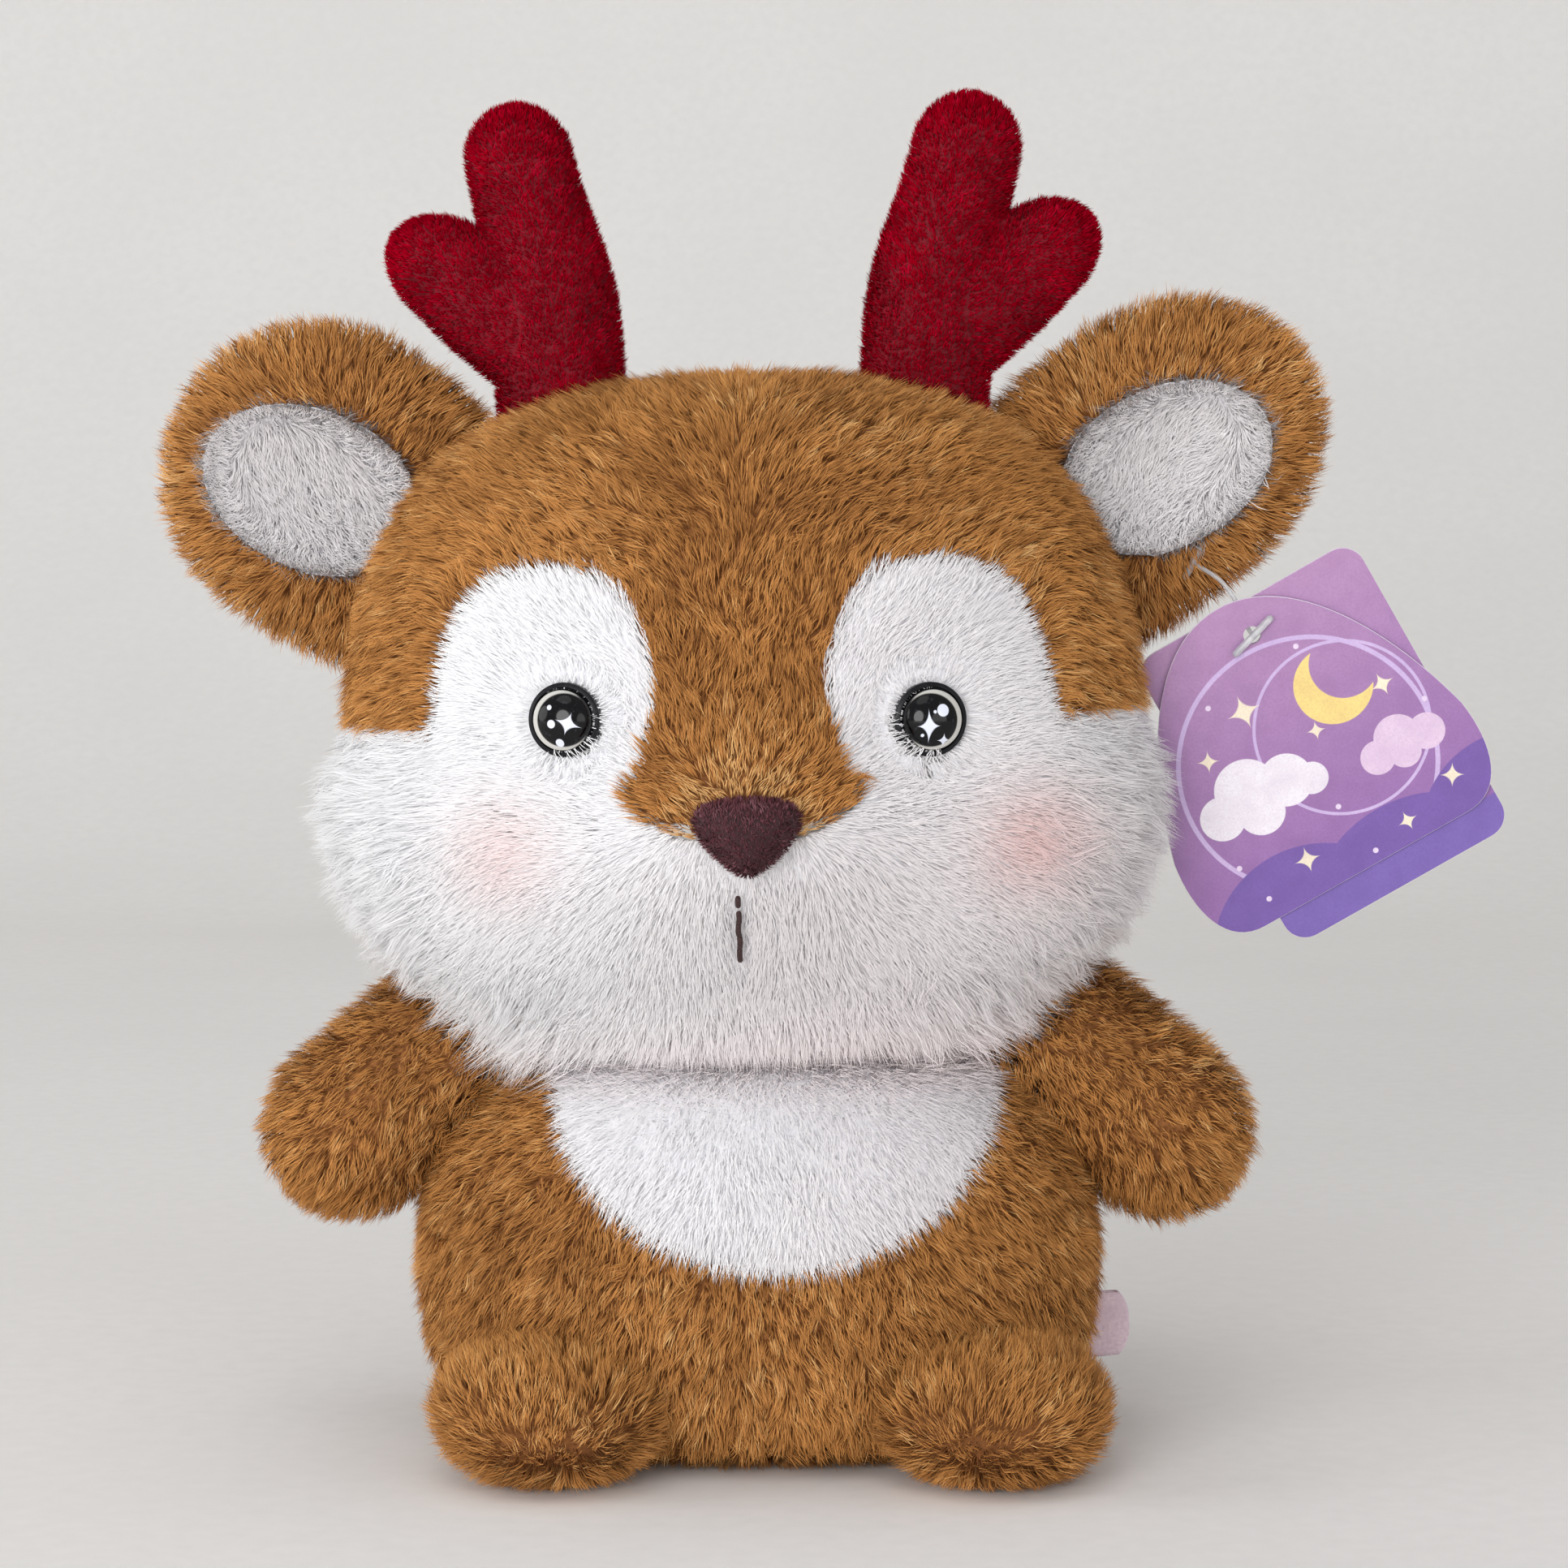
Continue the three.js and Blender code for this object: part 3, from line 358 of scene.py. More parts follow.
# %% [markdown]
# ## Ears
# An ear is a flat pad: a lobe seen from the front, rounded off toward its edge like a
# cushion. The hollow of its front is a smaller lobe pressed in, with a lining of its own.
# The two ears differ a little in size, as sewn ones do.


# %% Ear pads
EAR_HALF, EAR_TIP, EAR_THICK = {-1: 28.2, 1: 26.2}, {-1: 28.4, 1: 32.8}, 19
DISH_TURN, DISH_DROP, DISH_DEPTH, LINING_THICK = -11, 2.2, 8.2, 3


def bezier(a, b, c, d, count):
    """A curve that leaves a toward b and comes into d from c."""
    t = np.linspace(0, 1, count + 1)[:, None]
    a, b, c, d = (np.array(p, float) for p in (a, b, c, d))
    return a * (1 - t) ** 3 + 3 * b * t * (1 - t) ** 2 + 3 * c * t**2 * (1 - t) + d * t**3


def lobe(half, tip, root, root_half):
    """An ear's outline: narrow at the root and round at the tip."""
    low = bezier((-root, -root_half), (-root * 0.6, -half), (-root * 0.3, -half), (0, -half), 14)
    a = np.linspace(-np.pi / 2, np.pi / 2, 41)[1:-1]
    around = np.stack([tip * np.cos(a), half * np.sin(a)], 1)
    return np.vstack([low, around, (low * (1, -1))[::-1]])


def pad(outline, half_thick, levels=22):
    """A cushion with this outline, so thick before and behind its middle plane."""
    rings = []
    for t in np.radians(np.linspace(-90, 90, levels + 1)[1:-1]):
        off = np.full(len(outline), half_thick * math.sin(t))
        rings.append(np.stack([outline[:, 0] * math.cos(t), off, outline[:, 1] * math.cos(t)], 1))
    return ringed(np.stack(rings), (0, -half_thick, 0), (0, half_thick, 0))


dish_outline = lobe(15.6, 21.5, 24, 3)
dish_place = turned("Y", -DISH_TURN) @ moved(0, 0, -DISH_DROP)


def on_ear(points, faces, side):
    """A pad carried to an ear, with its faces turned over on the mirrored side."""
    return carried(points, ear_places[side]), faces if side > 0 else faces[:, ::-1]


def ear_form(side, grow=0):
    outline = lobe(EAR_HALF[side] + grow, EAR_TIP[side] + grow, 28 + grow, 25 + grow)
    return on_ear(*pad(outline, EAR_THICK / 2 + grow), side)


def dish_form(side, back_off):
    points, faces = pad(dish_outline, DISH_DEPTH)
    return on_ear(carried(points, dish_place) + (0, back_off, 0), faces, side)


print("ear", len(ear_form(1)[0]), "points, dish", len(dish_form(1, 0)[0]))

# %% [markdown]
# ## Seams of the white panels
# The face and the bib are white panels sewn into the brown cloth. Seen from the front
# their seams are closed outlines, and a point is white where it falls inside one.


# %% Seams
BIB_MIDDLE, BIB_HALF = 3.3, 43
FACE_BACK = 8  # how far behind the head's middle the face panel reaches, in mm


def face_seam():
    """The face panel's outline in the head's frame; its lower corners lie beyond the head."""
    notch, foot, half, inner, top, cheek, outer, patch = 10, 46, 20.5, 16.5, 89.3, 58, 60, 36
    beyond, below = 152, -122
    right = np.vstack([
        bezier((notch, foot - 4), (notch + 4, foot - 2), (half - 2, foot - 1), (half, foot + 3), 8),
        bezier((half, foot + 3), (half - 3, cheek), (inner - 2, top - 22), (inner, top - 16), 8),
        bezier((inner, top - 16), (inner + 3, top - 6), (inner + 7, top), (inner + patch / 2, top), 8),
        bezier((inner + patch / 2, top), (inner + patch, top), (outer - 7, cheek + 14), (outer - 4, cheek), 8),
        [(beyond, cheek), (beyond, below)],
    ])
    return np.vstack([right, (right * (-1, 1))[::-1]])


def bib_seam():
    """The bib's outline from the front: round below, and open above, under the head."""
    above = 158
    edge = bezier((0, 37.2), (22.8, 38.2), (BIB_HALF, 50.2), (BIB_HALF, 77), 12)
    right = np.vstack([edge, [(BIB_HALF, above)]])
    return np.vstack([right, (right[1:] * (-1, 1))[::-1]]) + (BIB_MIDDLE, 0)


def inside_outline(x, z, outline):
    """Which points of a plane lie inside an outline."""
    inside = np.zeros(len(x), bool)
    for (ax, az), (bx, bz) in zip(outline, np.roll(outline, -1, 0)):
        if az == bz:
            continue
        crossing = (az > z) != (bz > z)
        inside ^= crossing & (x < (bx - ax) * (z - az) / (bz - az) + ax)
    return inside


def on_face(points):
    p = back_from(points, head_place)
    return inside_outline(p[:, 0], p[:, 2], face_seam()) & (p[:, 1] < FACE_BACK)


def on_bib(points):
    return inside_outline(points[:, 0], points[:, 2], bib_seam()) & (points[:, 1] < 0)


print("white share of the head", round(float(on_face(swollen(skull)[0]).mean()), 2))

# %% [markdown]
# ## Effects that several materials share
# Pile is darker at its root and lighter at its tip, and it mottles in patches where it has
# been brushed or pressed. Cloth, filling and ribbon have a fine grain. Each effect is a
# node group with named inputs, built once and given its own values in every material.


# %% Node helpers
def node_group(name, inputs, outputs):
    """A new node group, with the sockets that it is given and those that it puts out."""
    tree = bpy.data.node_groups.new(name, "ShaderNodeTree")
    for label, kind, value in inputs:
        socket = tree.interface.new_socket(label, in_out="INPUT", socket_type="NodeSocket" + kind)
        socket.default_value = value
    for label, kind in outputs:
        tree.interface.new_socket(label, in_out="OUTPUT", socket_type="NodeSocket" + kind)
    return tree, tree.nodes.new("NodeGroupInput").outputs, tree.nodes.new("NodeGroupOutput").inputs


def add_node(tree, kind, links=None, **settings):
    """A node with settings, and its sockets linked to other sockets or given values."""
    made = tree.nodes.new("ShaderNode" + kind)
    for key, value in settings.items():
        setattr(made, key, value)
    for key, source in (links or {}).items():
        if isinstance(source, bpy.types.NodeSocket):
            tree.links.new(source, made.inputs[key])
        else:
            made.inputs[key].default_value = source
    return made


def group_node(tree, group, links):
    """A node that uses a group."""
    return add_node(tree, "Group", links, node_tree=group)


def maths(tree, operation, *values, clamp=False):
    """A sum on sockets and numbers, such as ADD or MULTIPLY."""
    made = add_node(tree, "Math", dict(enumerate(values)), operation=operation, use_clamp=clamp)
    return made.outputs[0]


def ranged(tree, value, low, high, to_low=0.0, to_high=1.0, smooth=False):
    """A value that runs from low to high, brought to run from 0 to 1 or between two others."""
    links = {"Value": value, "From Min": low, "From Max": high, "To Min": to_low, "To Max": to_high}
    return add_node(tree, "MapRange", links, interpolation_type="SMOOTHSTEP" if smooth else "LINEAR").outputs[0]


def mix_colours(tree, share, a, b, blend="MIX"):
    made = add_node(tree, "Mix", {0: share, 6: a, 7: b}, data_type="RGBA", blend_type=blend)
    return made.outputs[2]


def rgb(r, g, b):
    """A colour as it looks on a screen, from 0 to 255, as the light that it sends back."""
    def light(v):
        v /= 255
        return v / 12.92 if v <= 0.04045 else ((v + 0.055) / 1.055) ** 2.4
    return (light(r), light(g), light(b), 1)


WHITE, BLACK = (1, 1, 1, 1), (0, 0, 0, 1)
print("a mid brown is", [round(v, 3) for v in rgb(168, 112, 62)[:3]])

# %% Pile colour group
pile_colour, given, out = node_group(
    "pile_colour",
    [("Root", "Color", BLACK), ("Tip", "Color", WHITE), ("Light", "Color", WHITE), ("Along", "Float", 0.5),
     ("Tone", "Float", 0.5), ("Patch Size", "Float", 90.0), ("Patch Depth", "Float", 0.3)],
    [("Color", "Color")],
)
place = add_node(pile_colour, "TexCoord").outputs["Object"]
mottle = add_node(pile_colour, "TexNoise", {
    "Vector": place, "Scale": given["Patch Size"], "Detail": 3.0, "Roughness": 0.6,
}).outputs[0]
deeper = ranged(pile_colour, mottle, 0.35, 0.65, 1.0, 0.0)
kept = maths(pile_colour, "SUBTRACT", 1.0, maths(pile_colour, "MULTIPLY", deeper, given["Patch Depth"]))
rise = ranged(pile_colour, given["Along"], 0.0, 0.9, smooth=True)
fuller = ranged(pile_colour, given["Tone"], 0.0, 0.45, 0.35, 1.0)
risen = maths(pile_colour, "MULTIPLY", maths(pile_colour, "MULTIPLY", rise, fuller), kept)
body_colour = mix_colours(pile_colour, risen, given["Root"], given["Tip"])
bright = ranged(pile_colour, given["Tone"], 0.62, 1.0, smooth=True)
lit = maths(pile_colour, "MULTIPLY", bright, given["Along"])
pile_colour.links.new(mix_colours(pile_colour, lit, body_colour, given["Light"]), out["Color"])
print("group", pile_colour.name, "has", len(pile_colour.nodes), "nodes")

# %% [markdown]
# ## Fine grain
# No cloth, card or plastic is quite even. The grain group mixes a colour with a slightly
# darker one by a fine speckle and a broad cloud, and puts out the speckle as a height too,
# so that the same grain can roughen the surface.

# %% Fine grain group
fine_grain, given, out = node_group(
    "fine_grain",
    [("Color", "Color", WHITE), ("Shade", "Color", BLACK),
     ("Grain Size", "Float", 900.0), ("Cloud Size", "Float", 60.0)],
    [("Color", "Color"), ("Height", "Float")],
)
place = add_node(fine_grain, "TexCoord").outputs["Object"]
speck, cloud = (
    add_node(fine_grain, "TexNoise", {"Vector": place, "Scale": given[size], "Detail": detail}).outputs[0]
    for size, detail in (("Grain Size", 2.0), ("Cloud Size", 3.0))
)
share = ranged(fine_grain, maths(fine_grain, "MULTIPLY", speck, cloud), 0.12, 0.38)
fine_grain.links.new(mix_colours(fine_grain, share, given["Shade"], given["Color"]), out["Color"])
fine_grain.links.new(speck, out["Height"])
print("group", fine_grain.name, "has", len(fine_grain.nodes), "nodes")

# %% [markdown]
# ## Materials
# A pile material reads three values that each strand will carry: how far along the strand a
# point lies, the strand's own tone, and how much pink is brushed on, which is the cheeks'
# blush and, in the crease under the chin, a painted warm shade. Sheen gives the soft bright
# edge of fur fabric. The backing under the pile, the filling and the plastics are plain
# surfaces with the grain on them. Even values are set on the shader itself.


# %% Material builders
def material(name, **plain):
    """A material and its shader, whose even values are set on the shader's own sockets."""
    made = bpy.data.materials.new(name)
    made.use_nodes = True
    shader = made.node_tree.nodes["Principled BSDF"]
    for key, value in plain.items():
        shader.inputs[key.replace("_", " ")].default_value = value
    return made, made.node_tree, shader


def value_of(tree, name):
    """A value that the mesh carries at its points."""
    return add_node(tree, "Attribute", attribute_name=name, attribute_type="GEOMETRY").outputs["Fac"]


def pile_material(name, root, tip, light, patch_size, patch_depth, blush_and_warm_shade=False, sheen=None, **plain):
    even = {"Roughness": 0.75, "Specular_IOR_Level": 0.2, "Sheen_Weight": 0.35, "Sheen_Roughness": 0.45}
    made, tree, shader = material(name, **(even | plain))
    shader.inputs["Sheen Tint"].default_value = rgb(*(sheen or light))
    colour = group_node(tree, pile_colour, {
        "Root": rgb(*root), "Tip": rgb(*tip), "Light": rgb(*light),
        "Along": value_of(tree, "along"), "Tone": value_of(tree, "tone"),
        "Patch Size": patch_size, "Patch Depth": patch_depth,
    }).outputs[0]
    # mixed toward the pink: blush on the cheeks, and painted warm shade in the chin's crease
    if blush_and_warm_shade:
        colour = mix_colours(tree, value_of(tree, "blush_and_warm_shade"), colour, BLUSH_AND_WARM_SHADE)
    tree.links.new(colour, shader.inputs["Base Color"])
    return made


def roughen(tree, shader, height, depth, strength):
    bump = add_node(tree, "Bump", {"Height": height, "Distance": depth, "Strength": strength})
    tree.links.new(bump.outputs[0], shader.inputs["Normal"])


def grain_node(tree, colour, shade, grain, cloud):
    return group_node(tree, fine_grain, {
        "Color": colour, "Shade": rgb(*shade), "Grain Size": grain, "Cloud Size": cloud,
    })


def grained_material(name, colour, shade, grain=900.0, cloud=60.0, depth=0.0003, strength=0.5, **plain):
    """A surface with the grain in its colour and, where depth is given, in its height."""
    made, tree, shader = material(name, **plain)
    made_grain = grain_node(tree, rgb(*colour), shade, grain, cloud)
    tree.links.new(made_grain.outputs["Color"], shader.inputs["Base Color"])
    if depth:
        roughen(tree, shader, made_grain.outputs["Height"], depth, strength)
    return made


print("material builders ready")

# %% [markdown]
# ## Colours
# Each pile has a root, a tip and a light that only its brightest strands reach, given as
# they look on a screen, from 0 to 255. The backing has about the colour of the pile's
# middle, so that a gap between strands doesn't show.

# %% Pile, backing and filling materials
# the cheeks' blush pink, also mixed in as a painted warm shade in the crease under the chin
BLUSH_AND_WARM_SHADE = rgb(252, 196, 190)
brown_pile = pile_material(
    "brown_pile", (112, 64, 24), (220, 154, 84), (246, 200, 134), 55.0, 0.3, Sheen_Weight=0.2)
white_pile = pile_material(
    "white_pile", (250, 250, 252), (252, 252, 254), (254, 254, 255), 70.0, 0.2, blush_and_warm_shade=True)
lining_pile = pile_material("lining_pile", (232, 228, 229), (247, 244, 245), (252, 252, 253), 160.0, 0.4)
red_pile = pile_material(
    "red_velour", (96, 0, 12), (180, 0, 30), (216, 20, 60), 120.0, 0.45, sheen=(230, 10, 54),
    Roughness=0.8, Specular_IOR_Level=0.0, Sheen_Weight=0.45)
nose_pile = pile_material(
    "nose_velour", (62, 28, 34), (112, 62, 70), (156, 108, 116), 300.0, 0.4, Roughness=0.6)
brown_cloth, white_cloth, lining_cloth, red_cloth, nose_cloth = (
    grained_material(f"{name}_backing", colour, shade, Roughness=roughness)
    for name, colour, shade, roughness in (
        ("brown", (164, 106, 56), (126, 78, 38), 0.9),
        ("white", (248, 248, 250), (238, 238, 243), 0.9),
        ("lining", (236, 234, 238), (222, 220, 224), 0.9),
        ("red", (140, 6, 32), (104, 2, 20), 0.85),
        ("nose", (78, 42, 48), (52, 26, 30), 0.8),
    )
)
filling = grained_material(
    "fibre_filling", (246, 246, 244), (226, 226, 222), 300.0, 40.0, 0.001, 0.8, Roughness=0.95)
print("materials", len(bpy.data.materials))

# %% [markdown]
# ## Cloth under the pile
# Each cloth piece is a closed shell. The frame's shell gives its seams and hollows, but its
# facets are coarse. So it is rebuilt from small even squares, its outside is drawn onto the
# smooth form, and it is pulled in a little, because pile has a thickness that the form
# already counts.

# %% Cloth builder
PILE_ROOM = 1.6  # how far the cloth lies below the form that the pile fills, in mm


def mesh_object(name, points, faces, finish):
    """A smooth piece from points in millimetres and faces."""
    data = bpy.data.meshes.new(name)
    data.from_pydata((points * MM).tolist(), [], faces.tolist())
    data.materials.append(finish)
    data.shade_smooth()
    return in_scene(name, data)


def rows_of(data, what):
    """The places or the normals of a mesh's points, one to a row."""
    flat = np.empty(len(data.vertices) * 3, np.float32)
    data.vertices.foreach_get(what, flat)
    return flat.reshape(-1, 3)


def coordinates(data):
    return rows_of(data, "co").astype(float) / MM


def set_coordinates(data, points):
    data.vertices.foreach_set("co", (points * MM).astype(np.float32).ravel())
    data.update()


def settle_modifiers(made):
    """Makes what a piece's modifiers show into its own mesh."""
    ready = bpy.data.meshes.new_from_object(made.evaluated_get(bpy.context.evaluated_depsgraph_get()))
    made.modifiers.clear()
    made.data = ready


def fine_copy(name, node, square):
    """A node's closed shell, rebuilt from small even squares."""
    made = in_scene(name, nodes[node].data.copy())
    remesh = made.modifiers.new("squares", "REMESH")
    remesh.mode, remesh.voxel_size = "VOXEL", square * MM
    settle_modifiers(made)
    made.data.name = name
    return made


def dressed(made, node, body, finish):
    """Gives a piece its finish, hangs it on what it rides and hides the node that it stands for."""
    made.data.materials.clear()
    made.data.materials.append(finish)
    made.data.shade_smooth()
    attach(made, body)
    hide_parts(node)


def cloth_piece(name, node, forms, body, finish, square,
                inset=PILE_ROOM, reach=1.4, agree=0.2):
    """A cloth shell drawn onto smooth forms, then pulled in to make room for its pile."""
    made = fine_copy(name, node, square)
    points, outward = coordinates(made.data), rows_of(made.data, "normal")
    drawn = points.copy()
    closest = np.full(len(points), reach)
    for form_points, form_faces in forms:
        tree = BVHTree.FromPolygons(form_points.tolist(), form_faces.tolist())
        for i, p in enumerate(points):
            hit, way, _, gap = tree.find_nearest(p, closest[i])
            if hit is not None and way.dot(Vector(outward[i])) > agree:
                closest[i] = gap
                drawn[i] = np.array(hit) - np.array(way) * inset
    set_coordinates(made.data, drawn)
    print(name, len(points), "points,", int((closest < reach).sum()), "drawn onto the form")
    dressed(made, node, body, finish)


print("cloth lies", PILE_ROOM, "mm below the form")

# %% [markdown]
# ## The pattern's pieces
# Now each piece of the sewing pattern gets its cloth: its node, the form that it is drawn
# onto, what it rides, its finish and the size of its squares, finer on the small pieces.

# %% Cloth pieces
head_form, trunk_form = swollen(skull), swollen(trunk)
cloth_piece("head_cloth", "head_skin", [head_form], "head", brown_cloth, 1.8)
cloth_piece("face_cloth", "face_panel", [head_form], "head", white_cloth, 1.6)
cloth_piece("trunk_cloth", "body_skin", [trunk_form], "torso", brown_cloth, 1.8)
cloth_piece("bib_cloth", "bib", [trunk_form], "torso", white_cloth, 1.5)
cloth_piece("tail_cloth", "tail", [tail_form()[:2]], "tail", brown_cloth, 1.2)
for side, name in SIDES:
    for part, form, square in (("arm", arm_form, 1.4), ("foot", foot_form, 1.4), ("ear", ear_form, 1.2)):
        cloth_piece(f"{part}_cloth_{name}", f"{part}_{name}", [form(side)[:2]], f"{name}_{part}",
                    brown_cloth, square)
    cloth_piece(f"lining_cloth_{name}", f"ear_lining_{name}", [dish_form(side, -EAR_THICK / 2 - LINING_THICK)],
                f"{name}_ear", lining_cloth, 0.9, inset=0.1, agree=-1)
    cloth_piece(f"antler_cloth_{name}", f"antler_{name}", [made[:2] for made in antler_forms(side)],
                f"{name}_antler", red_cloth, 1.0, inset=0.5)

# %% [markdown]
# ## Filling
# Loose fibre fills the head, the trunk and the neck. It can't be seen, but a maker needs it
# in its place, so each filling is the frame's own, made lumpy as stuffed fibre is.


# %% Filling pieces
LUMP_SIZE, LUMP_DEPTH = 9, 0.5


def lumps(points, size, seed):
    """A smooth random value from -1 to 1 at each place, with lumps of about that size."""
    rng = np.random.default_rng(seed)
    waves = rng.normal(size=(5, 3)) * (2 * np.pi / size) * 0.6
    starts = rng.uniform(0, 2 * np.pi, 5)
    return np.sin(points @ waves.T + starts).mean(1)


for name, node, body, seed in (
    ("head_filling", "head_stuffing", "head", 1),
    ("trunk_filling", "body_stuffing", "torso", 2),
    ("neck_filling", "neck_stuffing", "neck", 3),
):
    made = fine_copy(name, node, 2.2)
    points = coordinates(made.data)
    dent = -LUMP_DEPTH - LUMP_DEPTH * lumps(points, LUMP_SIZE, seed)
    set_coordinates(made.data, points + rows_of(made.data, "normal") * dent[:, None])
    dressed(made, node, body, filling)
    print(name, len(points), "points")

# %% [markdown]
# ## Growing the pile
# Plush has some hundred hairs to a square millimetre, too many to draw. A few broad, tapered
# strands to each square millimetre read the same, because each stands for a small lock. A
# strand leaves the cloth steeply, bends over the way that the pile was combed, and leans
# toward its lock's middle. Strands are plain mesh, so they keep their shape anywhere.


# %% Roots on a surface
PER_MM2 = dict(head=5.0, trunk=4.6, hollow=3.4, limb=4.2, tail=4.0, lining=8.0, velour=11.0, nose=9)


def vertex_normals(points, faces):
    """The way out of a surface at each of its points."""
    a, b, c = (points[faces[:, i]] for i in range(3))
    way = np.cross(b - a, c - a)
    total = np.zeros_like(points)
    for i in range(3):
        np.add.at(total, faces[:, i], way)
    return unit(total)


def scattered(points, faces, density, seed, comb=None):
    """Random roots on a surface, so many to a square millimetre, with the surface's way there."""
    rng = np.random.default_rng(seed)
    a, b, c = (points[faces[:, i]] for i in range(3))
    area = np.linalg.norm(np.cross(b - a, c - a), axis=1) / 2
    count = int(area.sum() * density)
    pick = np.searchsorted(np.cumsum(area) / area.sum(), rng.random(count)).clip(0, len(faces) - 1)
    u, v = rng.random(count), rng.random(count)
    over = u + v > 1
    u[over], v[over] = 1 - u[over], 1 - v[over]
    share = np.stack([1 - u - v, u, v], 1)[:, :, None]
    normals = vertex_normals(points, faces)
    roots = (points[faces[pick]] * share).sum(1)
    way = unit((normals[faces[pick]] * share).sum(1))
    lie = None if comb is None else (comb[faces[pick]] * share).sum(1)
    return roots, way, lie


def cloth_roots(cloth, density, seed):
    """Random roots on a cloth piece that is already made."""
    data = bpy.data.objects[cloth].data
    data.calc_loop_triangles()
    faces = np.array([t.vertices[:] for t in data.loop_triangles])
    roots, way, _ = scattered(coordinates(data), faces, density, seed)
    return roots, way


def across(field, normals):
    """A field of directions laid flat on the surface."""
    return unit(field - normals * (field * normals).sum(1, keepdims=True))


def blend_in(a, b, share):
    """Directions a, turned into b by a share at each place."""
    return a + (b - a) * share[:, None]


def step(low, high, v):
    """A smooth rise from 0 to 1 as a value goes from low to high, which may lie below low."""
    t = np.clip((v - low) / (high - low), 0, 1)
    return t * t * (3 - 2 * t)


print("most strands to a square millimetre", max(PER_MM2.values()))

# %% [markdown]
# ## One strand
# A strand has five points: two at its root, two where it bends, and its tip. All the strands
# of a piece are written into one mesh at once, because a million small meshes would take
# hours. Each strand carries its values, its place on a colour map, and one shading direction
# for all of its points, so that the pile is lit as a soft surface and not as blades.


# %% Strand mesh
FLOOR_CLEAR, FLOOR_SPREAD = 0.25, 1.1
MIDDLE_WIDTH = 0.85
ALONG = np.array([0, 0, 0.55, 0.55, 1.0])
FACE_CORNERS = np.array([0, 1, 3, 2, 2, 3, 4])
MAP_ROW = 4
MAP_CORNERS = np.array([
    (0.12, 0.08), (0.88, 0.08), (0.82, 0.5), (0.18, 0.5), (0.18, 0.5), (0.82, 0.5), (0.5, 0.95)])


def strand_mesh(name, root, middle, tip, side_way, width, facing, values, finish):
    """Tapered strands of a four-sided and a three-sided face each."""
    n = len(root)
    w = (width / 2)[:, None]
    points = np.stack([root - side_way * w, root + side_way * w, middle - side_way * w * MIDDLE_WIDTH,
                       middle + side_way * w * MIDDLE_WIDTH, tip], 1)
    points[:, :, 2] = np.maximum(points[:, :, 2], FLOOR_CLEAR + FLOOR_SPREAD * values["tone"][:, None])
    data = bpy.data.meshes.new(name)
    data.vertices.add(5 * n)
    data.vertices.foreach_set("co", (points * MM).astype(np.float32).ravel())
    corner = np.arange(n)[:, None] * 5 + FACE_CORNERS
    data.loops.add(7 * n)
    data.loops.foreach_set("vertex_index", corner.astype(np.int32).ravel())
    data.polygons.add(2 * n)
    starts = np.arange(n)[:, None] * 7 + np.array([0, 4])
    data.polygons.foreach_set("loop_start", starts.astype(np.int32).ravel())
    data.update(calc_edges=True)
    data.polygons.foreach_set("use_smooth", np.ones(2 * n, bool))
    for label, value in values.items():
        spread = np.broadcast_to(value if np.ndim(value) == 2 else value[:, None], (n, 5))
        carrier = data.attributes.new(label, "FLOAT", "POINT").data
        carrier.foreach_set("value", spread.astype(np.float32).ravel())
    # every strand has its own small cell on the map, in rows, so that a colour can be kept on it
    cells = math.ceil(math.sqrt(n))
    order = np.empty(n, int)
    order[np.lexsort((root[:, 0], np.round(root[:, 2] / MAP_ROW)))] = np.arange(n)
    cell = np.stack([order % cells, order // cells], 1)[:, None, :]
    layer = data.uv_layers.new(name="OFBake")
    layer.uv.foreach_set("vector", ((cell + MAP_CORNERS) / cells).astype(np.float32).ravel())
    data.normals_split_custom_set_from_vertices(np.repeat(facing, 5, 0).astype(np.float32))
    data.materials.append(finish)
    return in_scene(name, data)


print("a strand has", len(ALONG), "points")

# %% [markdown]
# ## How pile lies
# Five things make pile look like pile. The comb gives the way that it lies, and it wanders a
# little from strand to strand. The lay says how far it leans over, from 0 upright to 90 flat.
# The lengths are a little uneven. Strands near each other lean toward the same lock's middle.
# And some locks are lighter than others.


